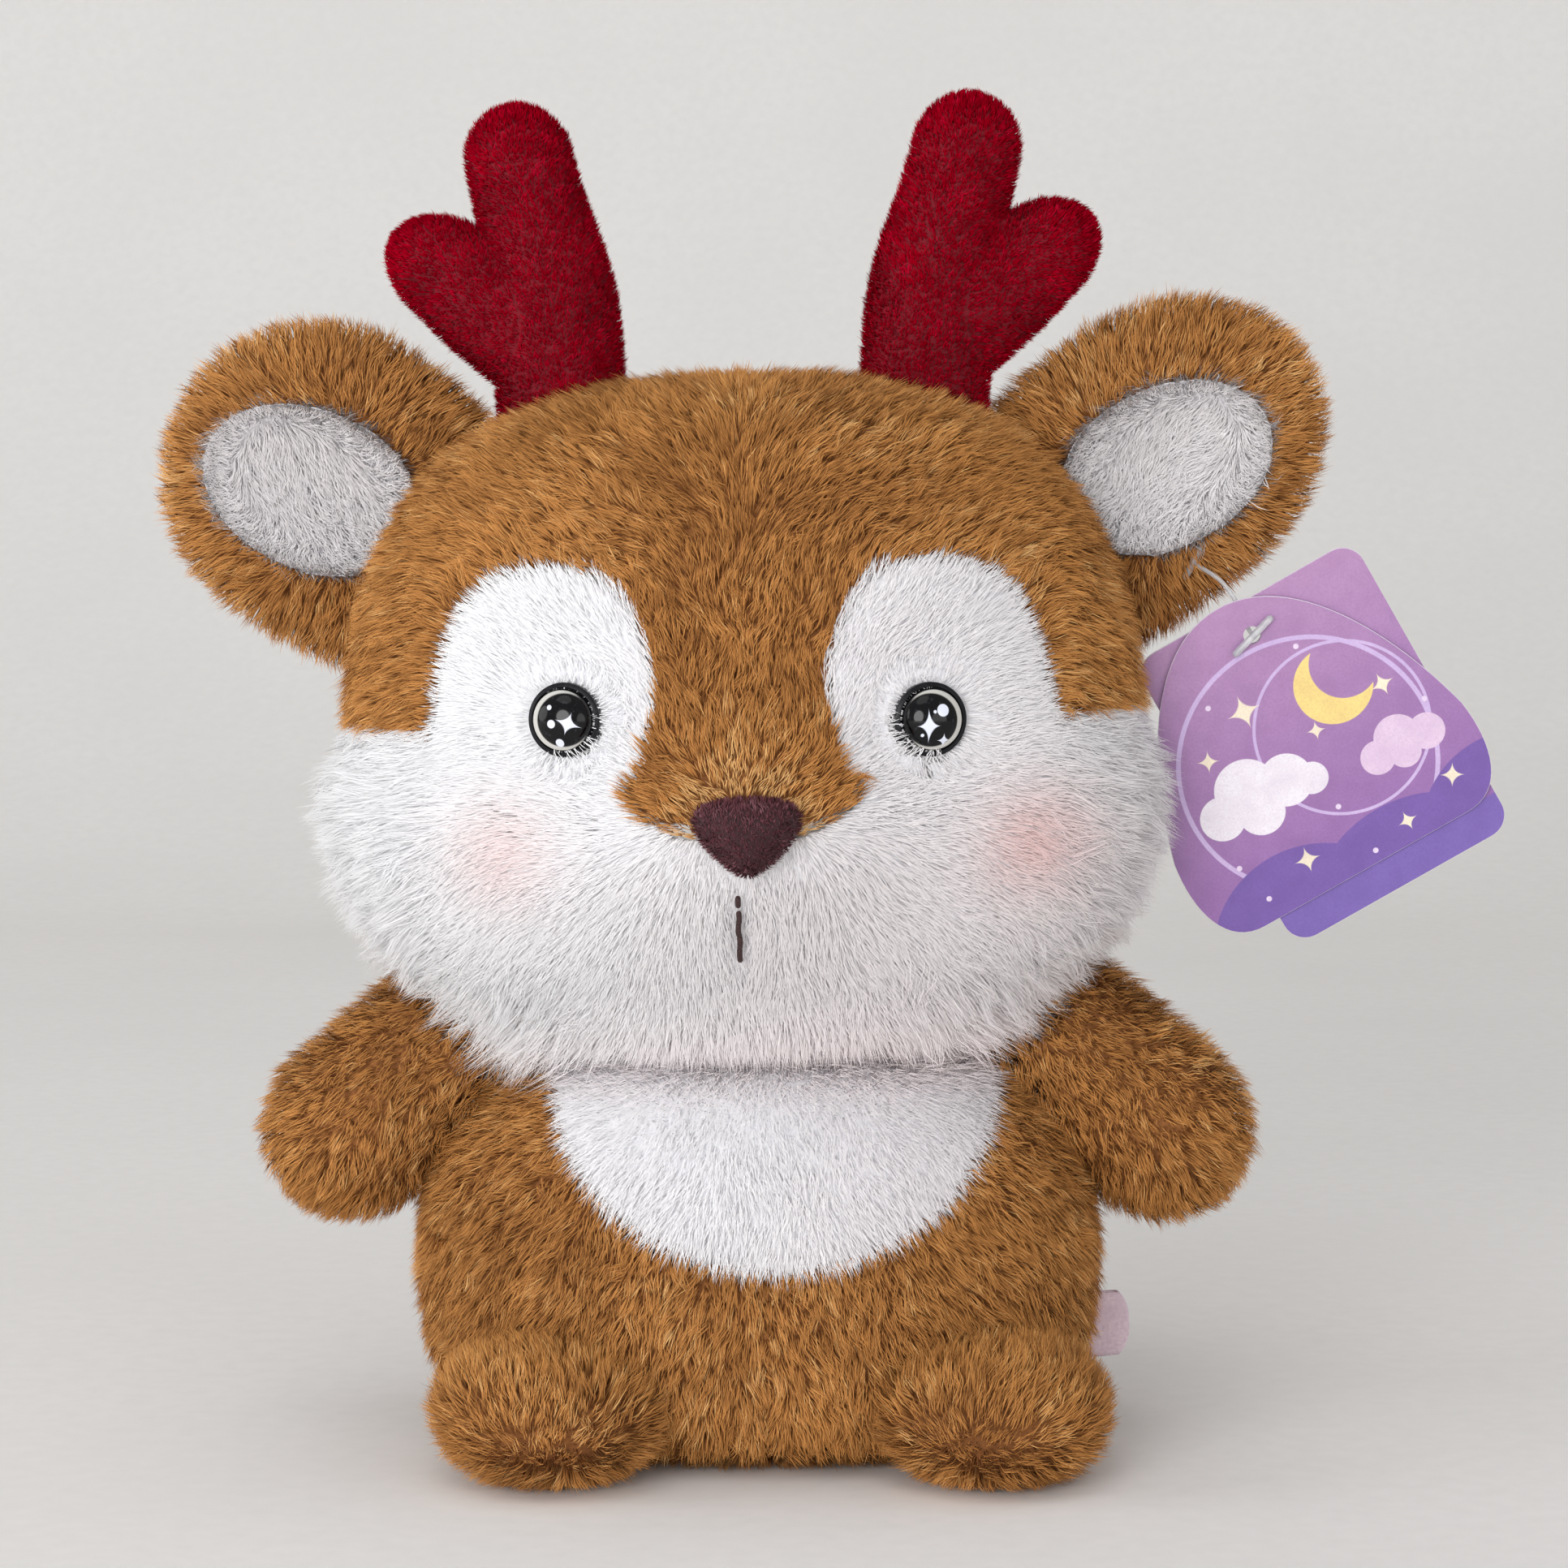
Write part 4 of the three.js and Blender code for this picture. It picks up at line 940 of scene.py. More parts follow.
# %% Pile builder
def grow_pile(name, roots, normals, comb, body, slot, finish, seed, length=6.5, width=0.3, lay=62, lock=9,
              pull=0.5, wander=16, stray=0.05, blush_and_warm_shade=None, tone_size=26, brighter=0, even=0.6, uneven=0.2,
              forward=None):
    """Pile on the given roots, riding a body. A lock holds so many strands and pulls them
    together by a share; forward turns the shading toward the front."""
    rng = np.random.default_rng(seed)
    n = len(roots)
    long = length * np.clip(1 + uneven * rng.normal(size=n), 0.5, 1.5)
    # the way that each strand lies on the cloth
    comb = across(comb, normals)
    turn = np.radians(wander * 1.6 * lumps(roots, 17, seed) + wander * rng.normal(size=n))
    comb = comb * np.cos(turn)[:, None] + np.cross(normals, comb) * np.sin(turn)[:, None]
    # how far it leans, steeper below its bend than above
    tilt = lay + 45 * uneven * rng.normal(size=n) + 35 * uneven * lumps(roots, 12, seed + 50)
    tilt = np.where(rng.random(n) < stray, tilt - 26, tilt)
    low, high = np.radians(np.clip(tilt - 22, 4, 84)), np.radians(np.clip(tilt + 12, 8, 88))
    first = normals * np.cos(low)[:, None] + comb * np.sin(low)[:, None]
    second = normals * np.cos(high)[:, None] + comb * np.sin(high)[:, None]
    base = roots - normals * 0.3
    middle = base + first * (long * 0.5)[:, None]
    tip = middle + second * (long * 0.5)[:, None]
    # the nearest lock and its pull
    heads = rng.choice(n, max(1, n // lock), replace=False)
    tree = kdtree.KDTree(len(heads))
    for i, h in enumerate(heads):
        tree.insert(roots[h], i)
    tree.balance()
    near = heads[[tree.find(r)[1] for r in roots]]
    hold = (pull * rng.uniform(0.5, 1.1, n))[:, None]
    middle, tip = middle + (middle[near] - middle) * hold * 0.35, tip + (tip[near] - tip) * hold
    # the strand's width, rolled about its length, and the way that it is shaded
    along = unit(tip - base)
    side_way = unit(np.cross(along, normals))
    roll = np.radians(rng.uniform(-50, 50, n))
    side_way = side_way * np.cos(roll)[:, None] + np.cross(along, side_way) * np.sin(roll)[:, None]
    flat_way = np.cross(side_way, along)
    flat_way *= np.sign((flat_way * normals).sum(1, keepdims=True) + 1e-9)
    facing = unit(normals * even + flat_way * (1 - even))
    if forward is not None:
        facing = unit(facing + np.outer(forward, (0, -1, 0.45)))
    tone = 0.45 + 0.2 * lumps(roots, tone_size, seed + 9) + 0.17 * rng.normal(size=n)
    tone = np.clip(tone + 0.14 * rng.normal(size=n)[near] + brighter, 0, 1)
    values = {"along": np.broadcast_to(ALONG, (n, 5)), "tone": tone}
    if blush_and_warm_shade is not None:
        values["blush_and_warm_shade"] = blush_and_warm_shade
    widths = width * rng.uniform(0.7, 1.25, n)
    made = strand_mesh(name, base, middle, tip, side_way, widths, facing, values, finish)
    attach(made, body)
    print(name, n, "strands")


print("pile builder ready")

# %% [markdown]
# ## Hollows under the head
# The head sits in hollows of the trunk and the arms. When it nods, their cloth would show
# bare, so short pile grows there too. Its roots are found on the cloth itself, wherever that
# is sunk well below the smooth form and lies close to the head.


# %% Roots in the hollows
SUNK = PILE_ROOM + 0.8
HEAD_REACH = 6
SHORT, FLAT = 2.2, 68  # length and lay of the pile in the hollows
DEPTH_STEP = 0.5


def under_head(cloth, sunk, density, seed):
    """Roots on the hollow that the head rests in, where the cloth is sunk below the form."""
    roots, normals = cloth_roots(cloth, density, seed)
    keep = within(roots, skull, HEAD_REACH) & (normals[:, 2] > -0.2) & sunk(roots)
    return roots[keep], normals[keep]


def seam_depth(points):
    """How deep points lie below the trunk's form, counted in small steps."""
    return sum(DEPTH_STEP * within(points, trunk, -DEPTH_STEP * i) for i in range(1, 18))


def sunk_trunk(points):
    return within(points, trunk, -SUNK) & ~within(points, trunk, -9)


print("hollows lie at least", round(SUNK, 1), "mm deep")

# %% [markdown]
# ## Pile on the head
# The panels are cut so that the pile runs away from the nose: up the bridge, outward over
# the cheeks, and down the back. Near the eyes and the nose it is trimmed short and parted
# round them, and a few white strands lap over the rim of each eye.


# %% Combing of the head
EYE_CLEAR = 5.8
PARTING = 120  # how softly the forehead's pile parts, in mm squared


def eye_spot(side):
    """The middle of an eye, across and up in the head's frame."""
    return FACE_MIDDLE + side * EYE_X, EYE_Z - side * EYE_TILT


EYE_SPOTS = [eye_spot(side) for side in (-1, 1)]


def white_comb(p):
    """The way that the white pile lies, in the head's frame: away from the middle of the face."""
    source = 46 + 18 * step(30, 66, np.abs(p[:, 0]))
    nearest = np.stack([np.clip(p[:, 0], -8, 8), 0 * p[:, 1], source], 1)
    flat = unit((p - nearest) * (1, 0, 1))
    for ex, ez in EYE_SPOTS:
        away = np.stack([p[:, 0] - ex, 0 * p[:, 0], p[:, 2] - ez], 1)
        gap = np.linalg.norm(away, axis=1)
        some = np.random.default_rng(31).random(len(p)) < 0.55
        lapping = some & (away[:, 0] * np.sign(ex) < 2.5) & (gap > 6.4) & (gap < 8.2)
        over_rim = unit(away) * np.where(lapping, -1, 1)[:, None]
        flat = blend_in(over_rim, flat, step(8, 13, gap))
    return flat + (0, 0.12, 0)


def brown_comb(p):
    """The way that the brown pile lies: up the bridge, apart on the forehead, down behind."""
    x, y, z = p.T
    way = (x - FACE_MIDDLE) / np.sqrt((x - FACE_MIDDLE) ** 2 + PARTING)
    zero = 0 * x
    rising = unit(np.stack([(x - NOSE_X) * (1 - 0.65 * step(50, 58, z)), zero, z - 40], 1))
    parted = np.stack([way * 0.95, zero + 0.25, zero + 0.3], 1)
    beside = np.stack([way * 0.5, zero + 0.35, zero - 1], 1)
    behind = np.stack([way * 0.25, zero + 0.2, zero - 1], 1)
    flow = blend_in(rising, parted, step(76, 100, z))
    flow = blend_in(flow, beside, step(44, 66, np.abs(x)))
    return blend_in(flow, behind, step(2, 26, y))


print("eyes at", [(round(x, 1), round(z, 1)) for x, z in EYE_SPOTS])


# %% [markdown]
# ## Where pile may grow on the head
# Roots are scattered over the whole head, then some are taken away: under the nose pad, round
# the eyes, where the antlers stand, and where the neck goes in. The rest are sorted into
# white and brown by the seam, which the white laps over a little beside the bridge.


# %% Roots on the head
def seam_gap(x, z, outline):
    """How far points seen from the front are from a seam."""
    best = np.full(len(x), 1e9)
    for (ax, az), (bx, bz) in zip(outline, np.roll(outline, -1, 0)):
        dx, dz = bx - ax, bz - az
        t = np.clip(((x - ax) * dx + (z - az) * dz) / max(dx * dx + dz * dz, 1e-9), 0, 1)
        best = np.minimum(best, np.hypot(x - ax - t * dx, z - az - t * dz))
    return best


def clear_of_face_parts(p):
    """Which roots lie clear of the nose pad and the eyes."""
    front = p[:, 1] < 0
    keep = ~(front & ((((p[:, 0] - NOSE_X) / 8.4) ** 2 + ((p[:, 2] - 43.4) / 5.6) ** 2) < 1))
    for ex, ez in EYE_SPOTS:
        keep &= ~(front & (np.hypot(p[:, 0] - ex, p[:, 2] - ez) < EYE_CLEAR))
    return keep


def thinned(pick, share, seed):
    """A random share of the picked roots."""
    return pick & (np.random.default_rng(seed).random(len(pick)) < share)


turn_head = head_place[:3, :3].T
roots, normals, _ = scattered(*swollen(skull, -PILE_ROOM), PER_MM2["head"], 11)
local = back_from(roots, head_place)
x, y, z = local.T
high_cheek = (np.abs(x) > 52) & (z > 56) & (z < 60.8) & (y < FACE_BACK)
bridge_side = (np.abs(x) < 26) & (z > 52) & (y < 0)
white = on_face(roots) | high_cheek | (bridge_side & (seam_gap(x, z, face_seam()) < 1.4))
keep = clear_of_face_parts(local) & ~within(roots, trunk, -1.5)
for side in (-1, 1):
    keep &= ~within_limb(roots, antler_forms(side)[0][3], -1.5)
print("roots on the head", len(roots), "kept", int(keep.sum()))

# %% [markdown]
# ## White pile of the face
# The white pile is a little longer away from the seam, trimmed round the mouth, and blushed
# on the cheeks. A fainter pink grows toward the toy's left and lower down, and along the
# chin's lower edge the pile is tinted with a painted warm shade. At the cheeks some of it
# stands up in tufts. Under the chin it is longer and looser, and some strands hang down over
# the bib, so that no bare crease shows between them. There the shading is turned to the
# front, as if the light came through the thin fringe.

# %% White pile of the face
COMBED_WHITE = dict(width=0.17, stray=0, even=1)
SMOOTH_LOCKS = dict(lock=18, pull=0.12, wander=14, uneven=0.1)
MOUTH_X, MOUTH_Z, MOUTH_HALF = -1.4, 25.4, 5.7
BLUSH_X, BLUSH_Z, BLUSH_REACH = 45.3, 39.3, 9.5
for side, name in SIDES:
    pick = keep & white & ((local[:, 0] - NOSE_X) * side > 0)
    p, r, w = local[pick], roots[pick], normals[pick]
    edge = seam_gap(p[:, 0], p[:, 2], face_seam())
    out, front, low = np.abs(p[:, 0]), p[:, 1] < 0, p[:, 2]
    loose = np.clip(step(50, 66, out) * step(64, 54, low) + step(22, 40, out) * step(24, 10, low), 0, 1)
    # lengths
    longer = 1 + (0.35 if side < 0 else 0.2) * loose
    longer *= 0.72 + 0.28 * step(0, 9, edge)
    for ex, ez in EYE_SPOTS:
        gap = np.hypot(p[:, 0] - ex, p[:, 2] - ez)
        longer *= np.where(gap < 8.0, 0.95, 0.6 + 0.4 * step(8, 15, gap))
    longer *= 0.5 + 0.5 * step(7, 17, np.hypot(p[:, 0] - NOSE_X, (p[:, 2] - NOSE_Z) * 1.2))
    mouth_gap = np.hypot(p[:, 0] - MOUTH_X, np.maximum(np.abs(p[:, 2] - MOUTH_Z) - MOUTH_HALF, 0))
    longer *= 0.5 + 0.5 * step(0.8, 4, mouth_gap)
    hang = (np.random.default_rng(35 + side).random(len(p)) < 0.4) * front * step(13, 8, low)
    longer *= 1 + 0.6 * step(14, 3, low) * front + 0.4 * hang
    # blush on the cheeks, a faint pink toward the toy's left and lower down,
    # and painted warm shade along the chin's lower edge
    cheek_gap = np.hypot(p[:, 0] - 4 - side * BLUSH_X, p[:, 2] - BLUSH_Z)
    pink = (0.5 if side > 0 else 0.34) * np.exp(-(cheek_gap / BLUSH_REACH) ** 2)
    pink += 0.11 * step(-45, 25, p[:, 0]) * (0.5 + 0.5 * step(56, 34, low)) + 0.1 * step(14, 1, low)
    lie = white_comb(p) @ turn_head
    lay = 54 - 26 * step(13, 4, low) + 32 * hang
    forward = 0.5 * step(16, 4, low) * front
    tufts = np.random.default_rng(27 + side).random(len(p)) < 0.45 * loose
    for part, pick, stretch, look in (
        ("face", ~tufts, 1, dict(lay=lay[~tufts], **SMOOTH_LOCKS)),
        ("cheek", tufts, 1.3, dict(lay=38, lock=22, pull=0.75, wander=20, uneven=0.24)),
    ):
        grow_pile(f"{part}_pile_{name}", r[pick], w[pick], lie[pick], "head", "white_fur", white_pile,
                  21 + side, length=5.0 * (longer * stretch)[pick], blush_and_warm_shade=pink[pick],
                  forward=forward[pick], **COMBED_WHITE, **look)

# %% [markdown]
# ## Brown pile of the head
# The brown pile is golden beside the nose and a little deeper on the crown. Behind, where no
# one looks closely, half as many strands cover the cloth as well, because they are broader.

# %% Brown pile of the head
nose_gap = np.hypot(local[:, 0] - NOSE_X, local[:, 2] - NOSE_Z)
crown_gap = np.hypot((local[:, 0] - 2) / 20, (local[:, 2] - 100) / 11)
for name, pick, width, seed in (
    ("brow_pile", keep & ~white & (local[:, 1] < -4), 0.2, 22),
    ("crown_pile", thinned(keep & ~white & (local[:, 1] >= -4), 0.5, 8), 0.28, 23),
):
    p, r, w, gap = local[pick], roots[pick], normals[pick], nose_gap[pick]
    shorter = 0.55 + 0.45 * step(6, 20, gap)
    front = step(0, -12, p[:, 1])
    deeper = 0.1 * step(10, 30, gap) * step(70, 50, gap) * (np.abs(p[:, 0]) < 24)
    golden = 0.4 * step(15, 9, gap) - 0.22 * np.exp(-crown_gap[pick] ** 2) - deeper
    grow_pile(name, r, w, brown_comb(p) @ turn_head, "head", "brown_fur", brown_pile, seed,
              length=5.0 * shorter, width=width, lay=42, lock=17, pull=0.6, wander=24, brighter=golden * front)

# %% [markdown]
# ## Pile on the trunk, the bib, the arms, the feet and the tail
# Below the head everything is combed down and outward, and along each limb to its end. No
# strand grows where another piece is sewn on. At the bib's upper rim the pile is longer and
# stands up, so that it meets the chin's fringe, and it is tinted with a painted warm shade.

# %% Bib pile
roots, normals, _ = scattered(*swollen(trunk, -PILE_ROOM), PER_MM2["trunk"], 12)
keep = ~within(roots, skull, -0.8) & (roots[:, 2] > 0.5)
for made in (arm_form(-1), arm_form(1), foot_form(-1), foot_form(1), tail_form()):
    keep &= ~within_limb(roots, made[3], -2)
white = on_bib(roots) & (seam_gap(roots[:, 0], roots[:, 2], bib_seam()) > 2.4)
pick = keep & white
hollow, hollow_way = under_head("bib_cloth", sunk_trunk, PER_MM2["trunk"], 13)
p, w = np.vstack([roots[pick], hollow]), np.vstack([normals[pick], hollow_way])
covered = np.arange(len(p)) >= pick.sum()
down = np.stack([(p[:, 0] - BIB_MIDDLE) / BIB_HALF * 0.6, 0 * p[:, 0], -np.ones(len(p))], 1)
down[covered] = (0, -1, 0)
near_rim = covered * step(-7, -2.5, -seam_depth(p))
upper = step(70, 77, p[:, 2])
# the bib's pink is faint and grows toward the toy's left; at its upper rim it is painted warm shade
grow_pile("bib_pile", p, w, down, "torso", "white_fur", white_pile, 24,
          length=np.where(covered, SHORT + 4 * near_rim, 5.6 + 1.4 * upper),
          lay=np.where(covered, FLAT - 12 * near_rim, 54 - 28 * upper),
          blush_and_warm_shade=0.03 + 0.06 * step(-10, 35, p[:, 0]) + 0.16 * step(65, 73, p[:, 2]),
          forward=0.8 * step(66, 72, p[:, 2]), **COMBED_WHITE, **SMOOTH_LOCKS)

# %% [markdown]
# ## Brown pile below the head
# The belly's pile is a little shorter along the seam down its middle, where the stitches
# hold it. Under the seat it is combed outward, as sitting spreads it. The feet are combed
# back and up, and the tail's pile runs to its tip.

# %% Belly and back pile
for name, pick, width, seed in (
    ("belly_pile", keep & ~white & (roots[:, 1] < 0), 0.21, 25),
    ("back_pile", thinned(keep & ~white & (roots[:, 1] >= 0), 0.55, 9), 0.28, 26),
):
    p, w = roots[pick], normals[pick]
    count = len(p)
    if name == "back_pile":
        hollow, hollow_way = under_head("trunk_cloth", sunk_trunk, PER_MM2["hollow"], 14)
        p, w = np.vstack([p, hollow]), np.vstack([w, hollow_way])
    covered = np.arange(len(p)) >= count
    down = np.stack([p[:, 0] / 63 * 0.5, 0 * p[:, 0], -np.ones(len(p))], 1)
    under = np.stack([p[:, 0], p[:, 1], 0 * p[:, 0]], 1)
    lie = blend_in(down, unit(under), np.maximum(step(-0.6, -0.9, w[:, 2]), covered))
    belly_seam = 1 - 0.4 * np.exp(-(((p[:, 0] - 2) / 1.2) ** 2))
    grow_pile(name, p, w, lie, "torso", "brown_fur", brown_pile, seed, width=width,
              length=np.where(covered, SHORT, 5.2 * belly_seam), lay=np.where(covered, FLAT, 45),
              lock=16, pull=0.6, wander=22)

# %% Arm, foot and tail pile
for side, name in SIDES:
    for part, form, seed in (("arm", arm_form, 40), ("foot", foot_form, 45)):
        points, faces, comb, core = form(side, -PILE_ROOM)
        roots, normals, lie = scattered(points, faces, PER_MM2["limb"], seed - 10 + side, comb)
        keep = ~within(roots, trunk, -0.5) & ~within(roots, skull, 0.2) & (roots[:, 2] > 0.4)
        lie = lie - (0, 0, 0.35) if part == "arm" else np.tile((side * 0.15, 0.5, 0.6), (len(roots), 1))
        roots, normals, lie = roots[keep], normals[keep], lie[keep]
        covered = np.zeros(len(roots), bool)
        if part == "arm":
            hollow, hollow_way = under_head(
                f"arm_cloth_{name}",
                lambda points: within_limb(points, core, -SUNK) & ~within(points, trunk, -0.5),
                PER_MM2["limb"], 15 + side)
            covered = np.repeat([False, True], [len(roots), len(hollow)])
            roots, normals = np.vstack([roots, hollow]), np.vstack([normals, hollow_way])
            lie = np.vstack([lie, np.tile((side * 1.0, 0, -0.6), (len(hollow), 1))])
        grow_pile(f"{part}_pile_{name}", roots, normals, lie, f"{name}_{part}", "brown_fur", brown_pile,
                  seed + side, length=np.where(covered, SHORT, 4.9), width=0.21,
                  lay=np.where(covered, FLAT, 41), lock=15, pull=0.6, wander=24)
points, faces, comb, _ = tail_form(-1.2)
roots, normals, lie = scattered(points, faces, PER_MM2["tail"], 33, comb)
keep = ~within(roots, trunk, -0.5)
grow_pile("tail_pile", roots[keep], normals[keep], lie[keep], "tail", "brown_fur", brown_pile, 44,
          length=5.4, width=0.22, lay=46, lock=12)


# %% [markdown]
# ## Pile on the ears
# The ear's rim is rolled, and its brown pile stands out all round it. The lining is a
# softer white plush. In its middle it lies inward, toward the head, and near its rim it
# turns outward over the brown. It grows on its own cloth, wherever that faces forward.


# %% Lining pile
DISH_MIDDLE = (2, DISH_DROP * -0.5)


def grow_lining(side, name):
    turn_ear = ear_places[side][:3, :3].T
    roots, normals = cloth_roots(f"lining_cloth_{name}", PER_MM2["lining"], 70 + side)
    p, n = back_from(roots, ear_places[side]), normals @ ear_places[side][:3, :3]
    keep = (n[:, 1] < 0.1) & ~within(roots, skull, 0.2)
    off_x, off_z = p[:, 0] - DISH_MIDDLE[0], p[:, 2] - DISH_MIDDLE[1]
    rim = np.hypot(off_x / 20, off_z / 15.5)
    outward = np.stack([off_x, 0 * rim, off_z], 1)
    inward = np.tile(np.array([-1, 0, -0.3]), (len(roots), 1))
    lie = blend_in(inward, unit(outward), step(0.5, 0.85, rim)) @ turn_ear
    grow_pile(f"lining_pile_{name}", roots[keep], normals[keep], lie[keep], f"{name}_ear", "ear_plush",
              lining_pile, 80 + side, length=5.6, width=0.19, lay=50, lock=24, pull=0.4, wander=24,
              even=1, uneven=0.14)


print("lining's middle", DISH_MIDDLE, "mm from the ear's")


# %% Ear pile
def in_dish(points, side, back_off):
    """Which points lie inside the hollow of an ear's front."""
    p = back_from(back_from(points, ear_places[side]) - (0, back_off, 0), dish_place)
    c = np.sqrt(np.maximum(1 - (p[:, 1] / DISH_DEPTH) ** 2, 1e-6))
    return inside_outline(p[:, 0] / c, p[:, 2] / c, dish_outline) & (np.abs(p[:, 1]) < DISH_DEPTH)


for side, name in SIDES:
    turn_ear = ear_places[side][:3, :3].T
    roots, normals, _ = scattered(*ear_form(side, -1.5), PER_MM2["limb"], 50 + side)
    keep = ~in_dish(roots, side, -EAR_THICK / 2 - 0.6) & ~within(roots, skull, -0.5)
    p = back_from(roots, ear_places[side])
    out = np.stack([p[:, 0] + 4, 0 * p[:, 0], p[:, 2]], 1) @ turn_ear
    grow_pile(f"ear_pile_{name}", roots[keep], normals[keep], out[keep], f"{name}_ear", "brown_fur", brown_pile,
              60 + side, length=5.4, width=0.2, lay=42, lock=15, pull=0.5, wander=22, uneven=0.16)
    grow_lining(side, name)

# %% [markdown]
# ## Velour on the antlers
# Velour is pile cut to little more than a millimetre. It stands almost upright and is
# brushed toward the tips, and where it leans away from the eye it looks darker.

# %% Antler velour
for side, name in SIDES:
    beam, tine = antler_forms(side, -0.4)
    full_beam, full_tine = antler_forms(side)
    parts = []
    for (points, faces, comb, _), other, seed in ((beam, full_tine, 1), (tine, full_beam, 2)):
        roots, normals, lie = scattered(points, faces, PER_MM2["velour"], 90 + side + 4 * seed, comb)
        keep = ~within_limb(roots, other[3], -0.3) & ~within(roots, skull, 0.4)
        parts.append((roots[keep], normals[keep], lie[keep]))
    roots, normals, lie = (np.vstack([part[k] for part in parts]) for k in range(3))
    grow_pile(f"antler_pile_{name}", roots, normals, lie, f"{name}_antler", "red_velour", red_pile, 100 + side,
              length=1.7, width=0.19, lay=36, lock=12, pull=0.3, wander=24, tone_size=9)

# %% [markdown]
# ## Eyes
# Each eye is a turned plastic disc on a ribbed shank, pushed through the cloth and held by a
# washer behind. A plain dark rim stands round a glossy dome. Both are turned on a fine
# lathe profile: a list of radii and heights, swept round the shank's axis.


# %% Eye shapes
def face_y(x, z):
    """How far forward the head's front lies, in the head's frame."""
    line = smooth_shares(HEAD_SHAPE)
    head_half = skull["width"] / 2
    half = float(np.interp(z / skull["height"], line[:, 1], line[:, 0])) * head_half
    y = half * skull["front"] / head_half * max(0, 1 - abs(x / half) ** RING_POWER) ** (1 / RING_POWER)
    return -y - float(push(skull["bumps"], np.array([float(x)]), np.array([float(z)]))[0]) - HEAD_FORWARD


def eye_seat(side):
    x, z = eye_spot(side)
    return head_place @ moved(x, face_y(x, z) + 0.8, z) @ turned("Z", side * 16) @ turned("X", 90)


def lathed(name, profile, place, finish, around=72):
    """A turned piece: each profile point is a radius and a height on the shank's axis."""
    rings = np.array([[(r * math.cos(a), r * math.sin(a), h) for a in np.arange(around) * 2 * np.pi / around]
                      for r, h in profile[1:-1]])
    points, faces = ringed(rings, (0, 0, profile[0][1]), (0, 0, profile[-1][1]))
    return mesh_object(name, carried(points, place), faces, finish)


def rounded(points, radius=0.12, steps=3):
    """A profile with its corners eased, as a moulded edge is."""
    p = [np.array(q, float) for q in points]
    out = [tuple(p[0])]
    for a, b, c in zip(p, p[1:], p[2:]):
        near_a, near_c = (b + unit(q - b) * min(radius, np.linalg.norm(q - b) / 2.5) for q in (a, c))
        for t in np.linspace(0, 1, steps + 1):
            out.append(tuple(near_a * (1 - t) ** 2 + 2 * b * t * (1 - t) + near_c * t * t))
    return out + [tuple(p[-1])]


EYE_RADIUS, EYE_RIM, EYE_BACK = 6.6, 0.8, 1.4
SHANK, RIDGE, SHANK_LONG = 2.3, 0.35, 11
DOME_RADIUS, DOME_FOOT, DOME_RISE = 5.5, 1.7, 3.6
pitch = SHANK_LONG / 7
ridges = [(SHANK + out, -pitch * (2 * i + down))
          for i in (2, 1, 0) for out, down in ((0, 2), (RIDGE, 1.5), (0, 1))]
back_profile = rounded(
    [(0, -SHANK_LONG), (SHANK - 0.6, -SHANK_LONG)] + ridges + [
        (SHANK, 0), (EYE_RADIUS - 1.2, 0), (EYE_RADIUS, 0.5), (EYE_RADIUS, EYE_BACK + EYE_RIM * 0.6),
        (EYE_RADIUS - EYE_RIM, EYE_BACK + EYE_RIM), (EYE_RADIUS - EYE_RIM, EYE_BACK), (0, EYE_BACK)])
dome_edge = [(0, DOME_FOOT), (DOME_RADIUS - 0.15, DOME_FOOT), (DOME_RADIUS, DOME_FOOT + 0.3)]
dome_arc = [(DOME_RADIUS * math.cos(t), DOME_FOOT + 0.4 + DOME_RISE * math.sin(t))
            for t in np.radians(np.arange(0, 90, 4.5))]
dome_profile = [(0, DOME_FOOT)] + rounded(dome_edge, 0.1)[1:-1] + dome_arc + [(0, DOME_FOOT + 4)]
print("eye seat", eye_seat(1)[:3, 3].round(1))

# %% [markdown]
# ## Spots and glints
# The look in an eye is printed: round white spots and small pointed glints. Beside them lies
# a silver crescent, which is painted refraction: the silver ring under a clear dome, as the
# dome bends it into view. The card's sky has the same motifs. So two groups draw them, each
# by how far a place on the plane lies from the motif's middle: a soft-edged disc, and a star
# with four points whose sides are drawn in.


# %% Spot and glint groups
ON_PLANE = [(label, "Float", 0.0) for label in ("Across", "Up", "Middle Across", "Middle Up")]
GLINT_POWER = 0.55


def from_middle(tree, given):
    """How far each place lies from a motif's middle, across and up."""
    off = [maths(tree, "SUBTRACT", given[way], given["Middle " + way]) for way in ("Across", "Up")]
    return add_node(tree, "CombineXYZ", dict(enumerate(off))).outputs[0]


round_spot, given, out = node_group(
    "round_spot", ON_PLANE + [("Radius", "Float", 1.0), ("Soft", "Float", 0.1)], [("Mask", "Float")])
length = add_node(round_spot, "VectorMath", {0: from_middle(round_spot, given)}, operation="LENGTH")
inside = maths(round_spot, "SUBTRACT", given["Radius"], length.outputs["Value"])
round_spot.links.new(maths(round_spot, "DIVIDE", inside, given["Soft"], clamp=True), out["Mask"])

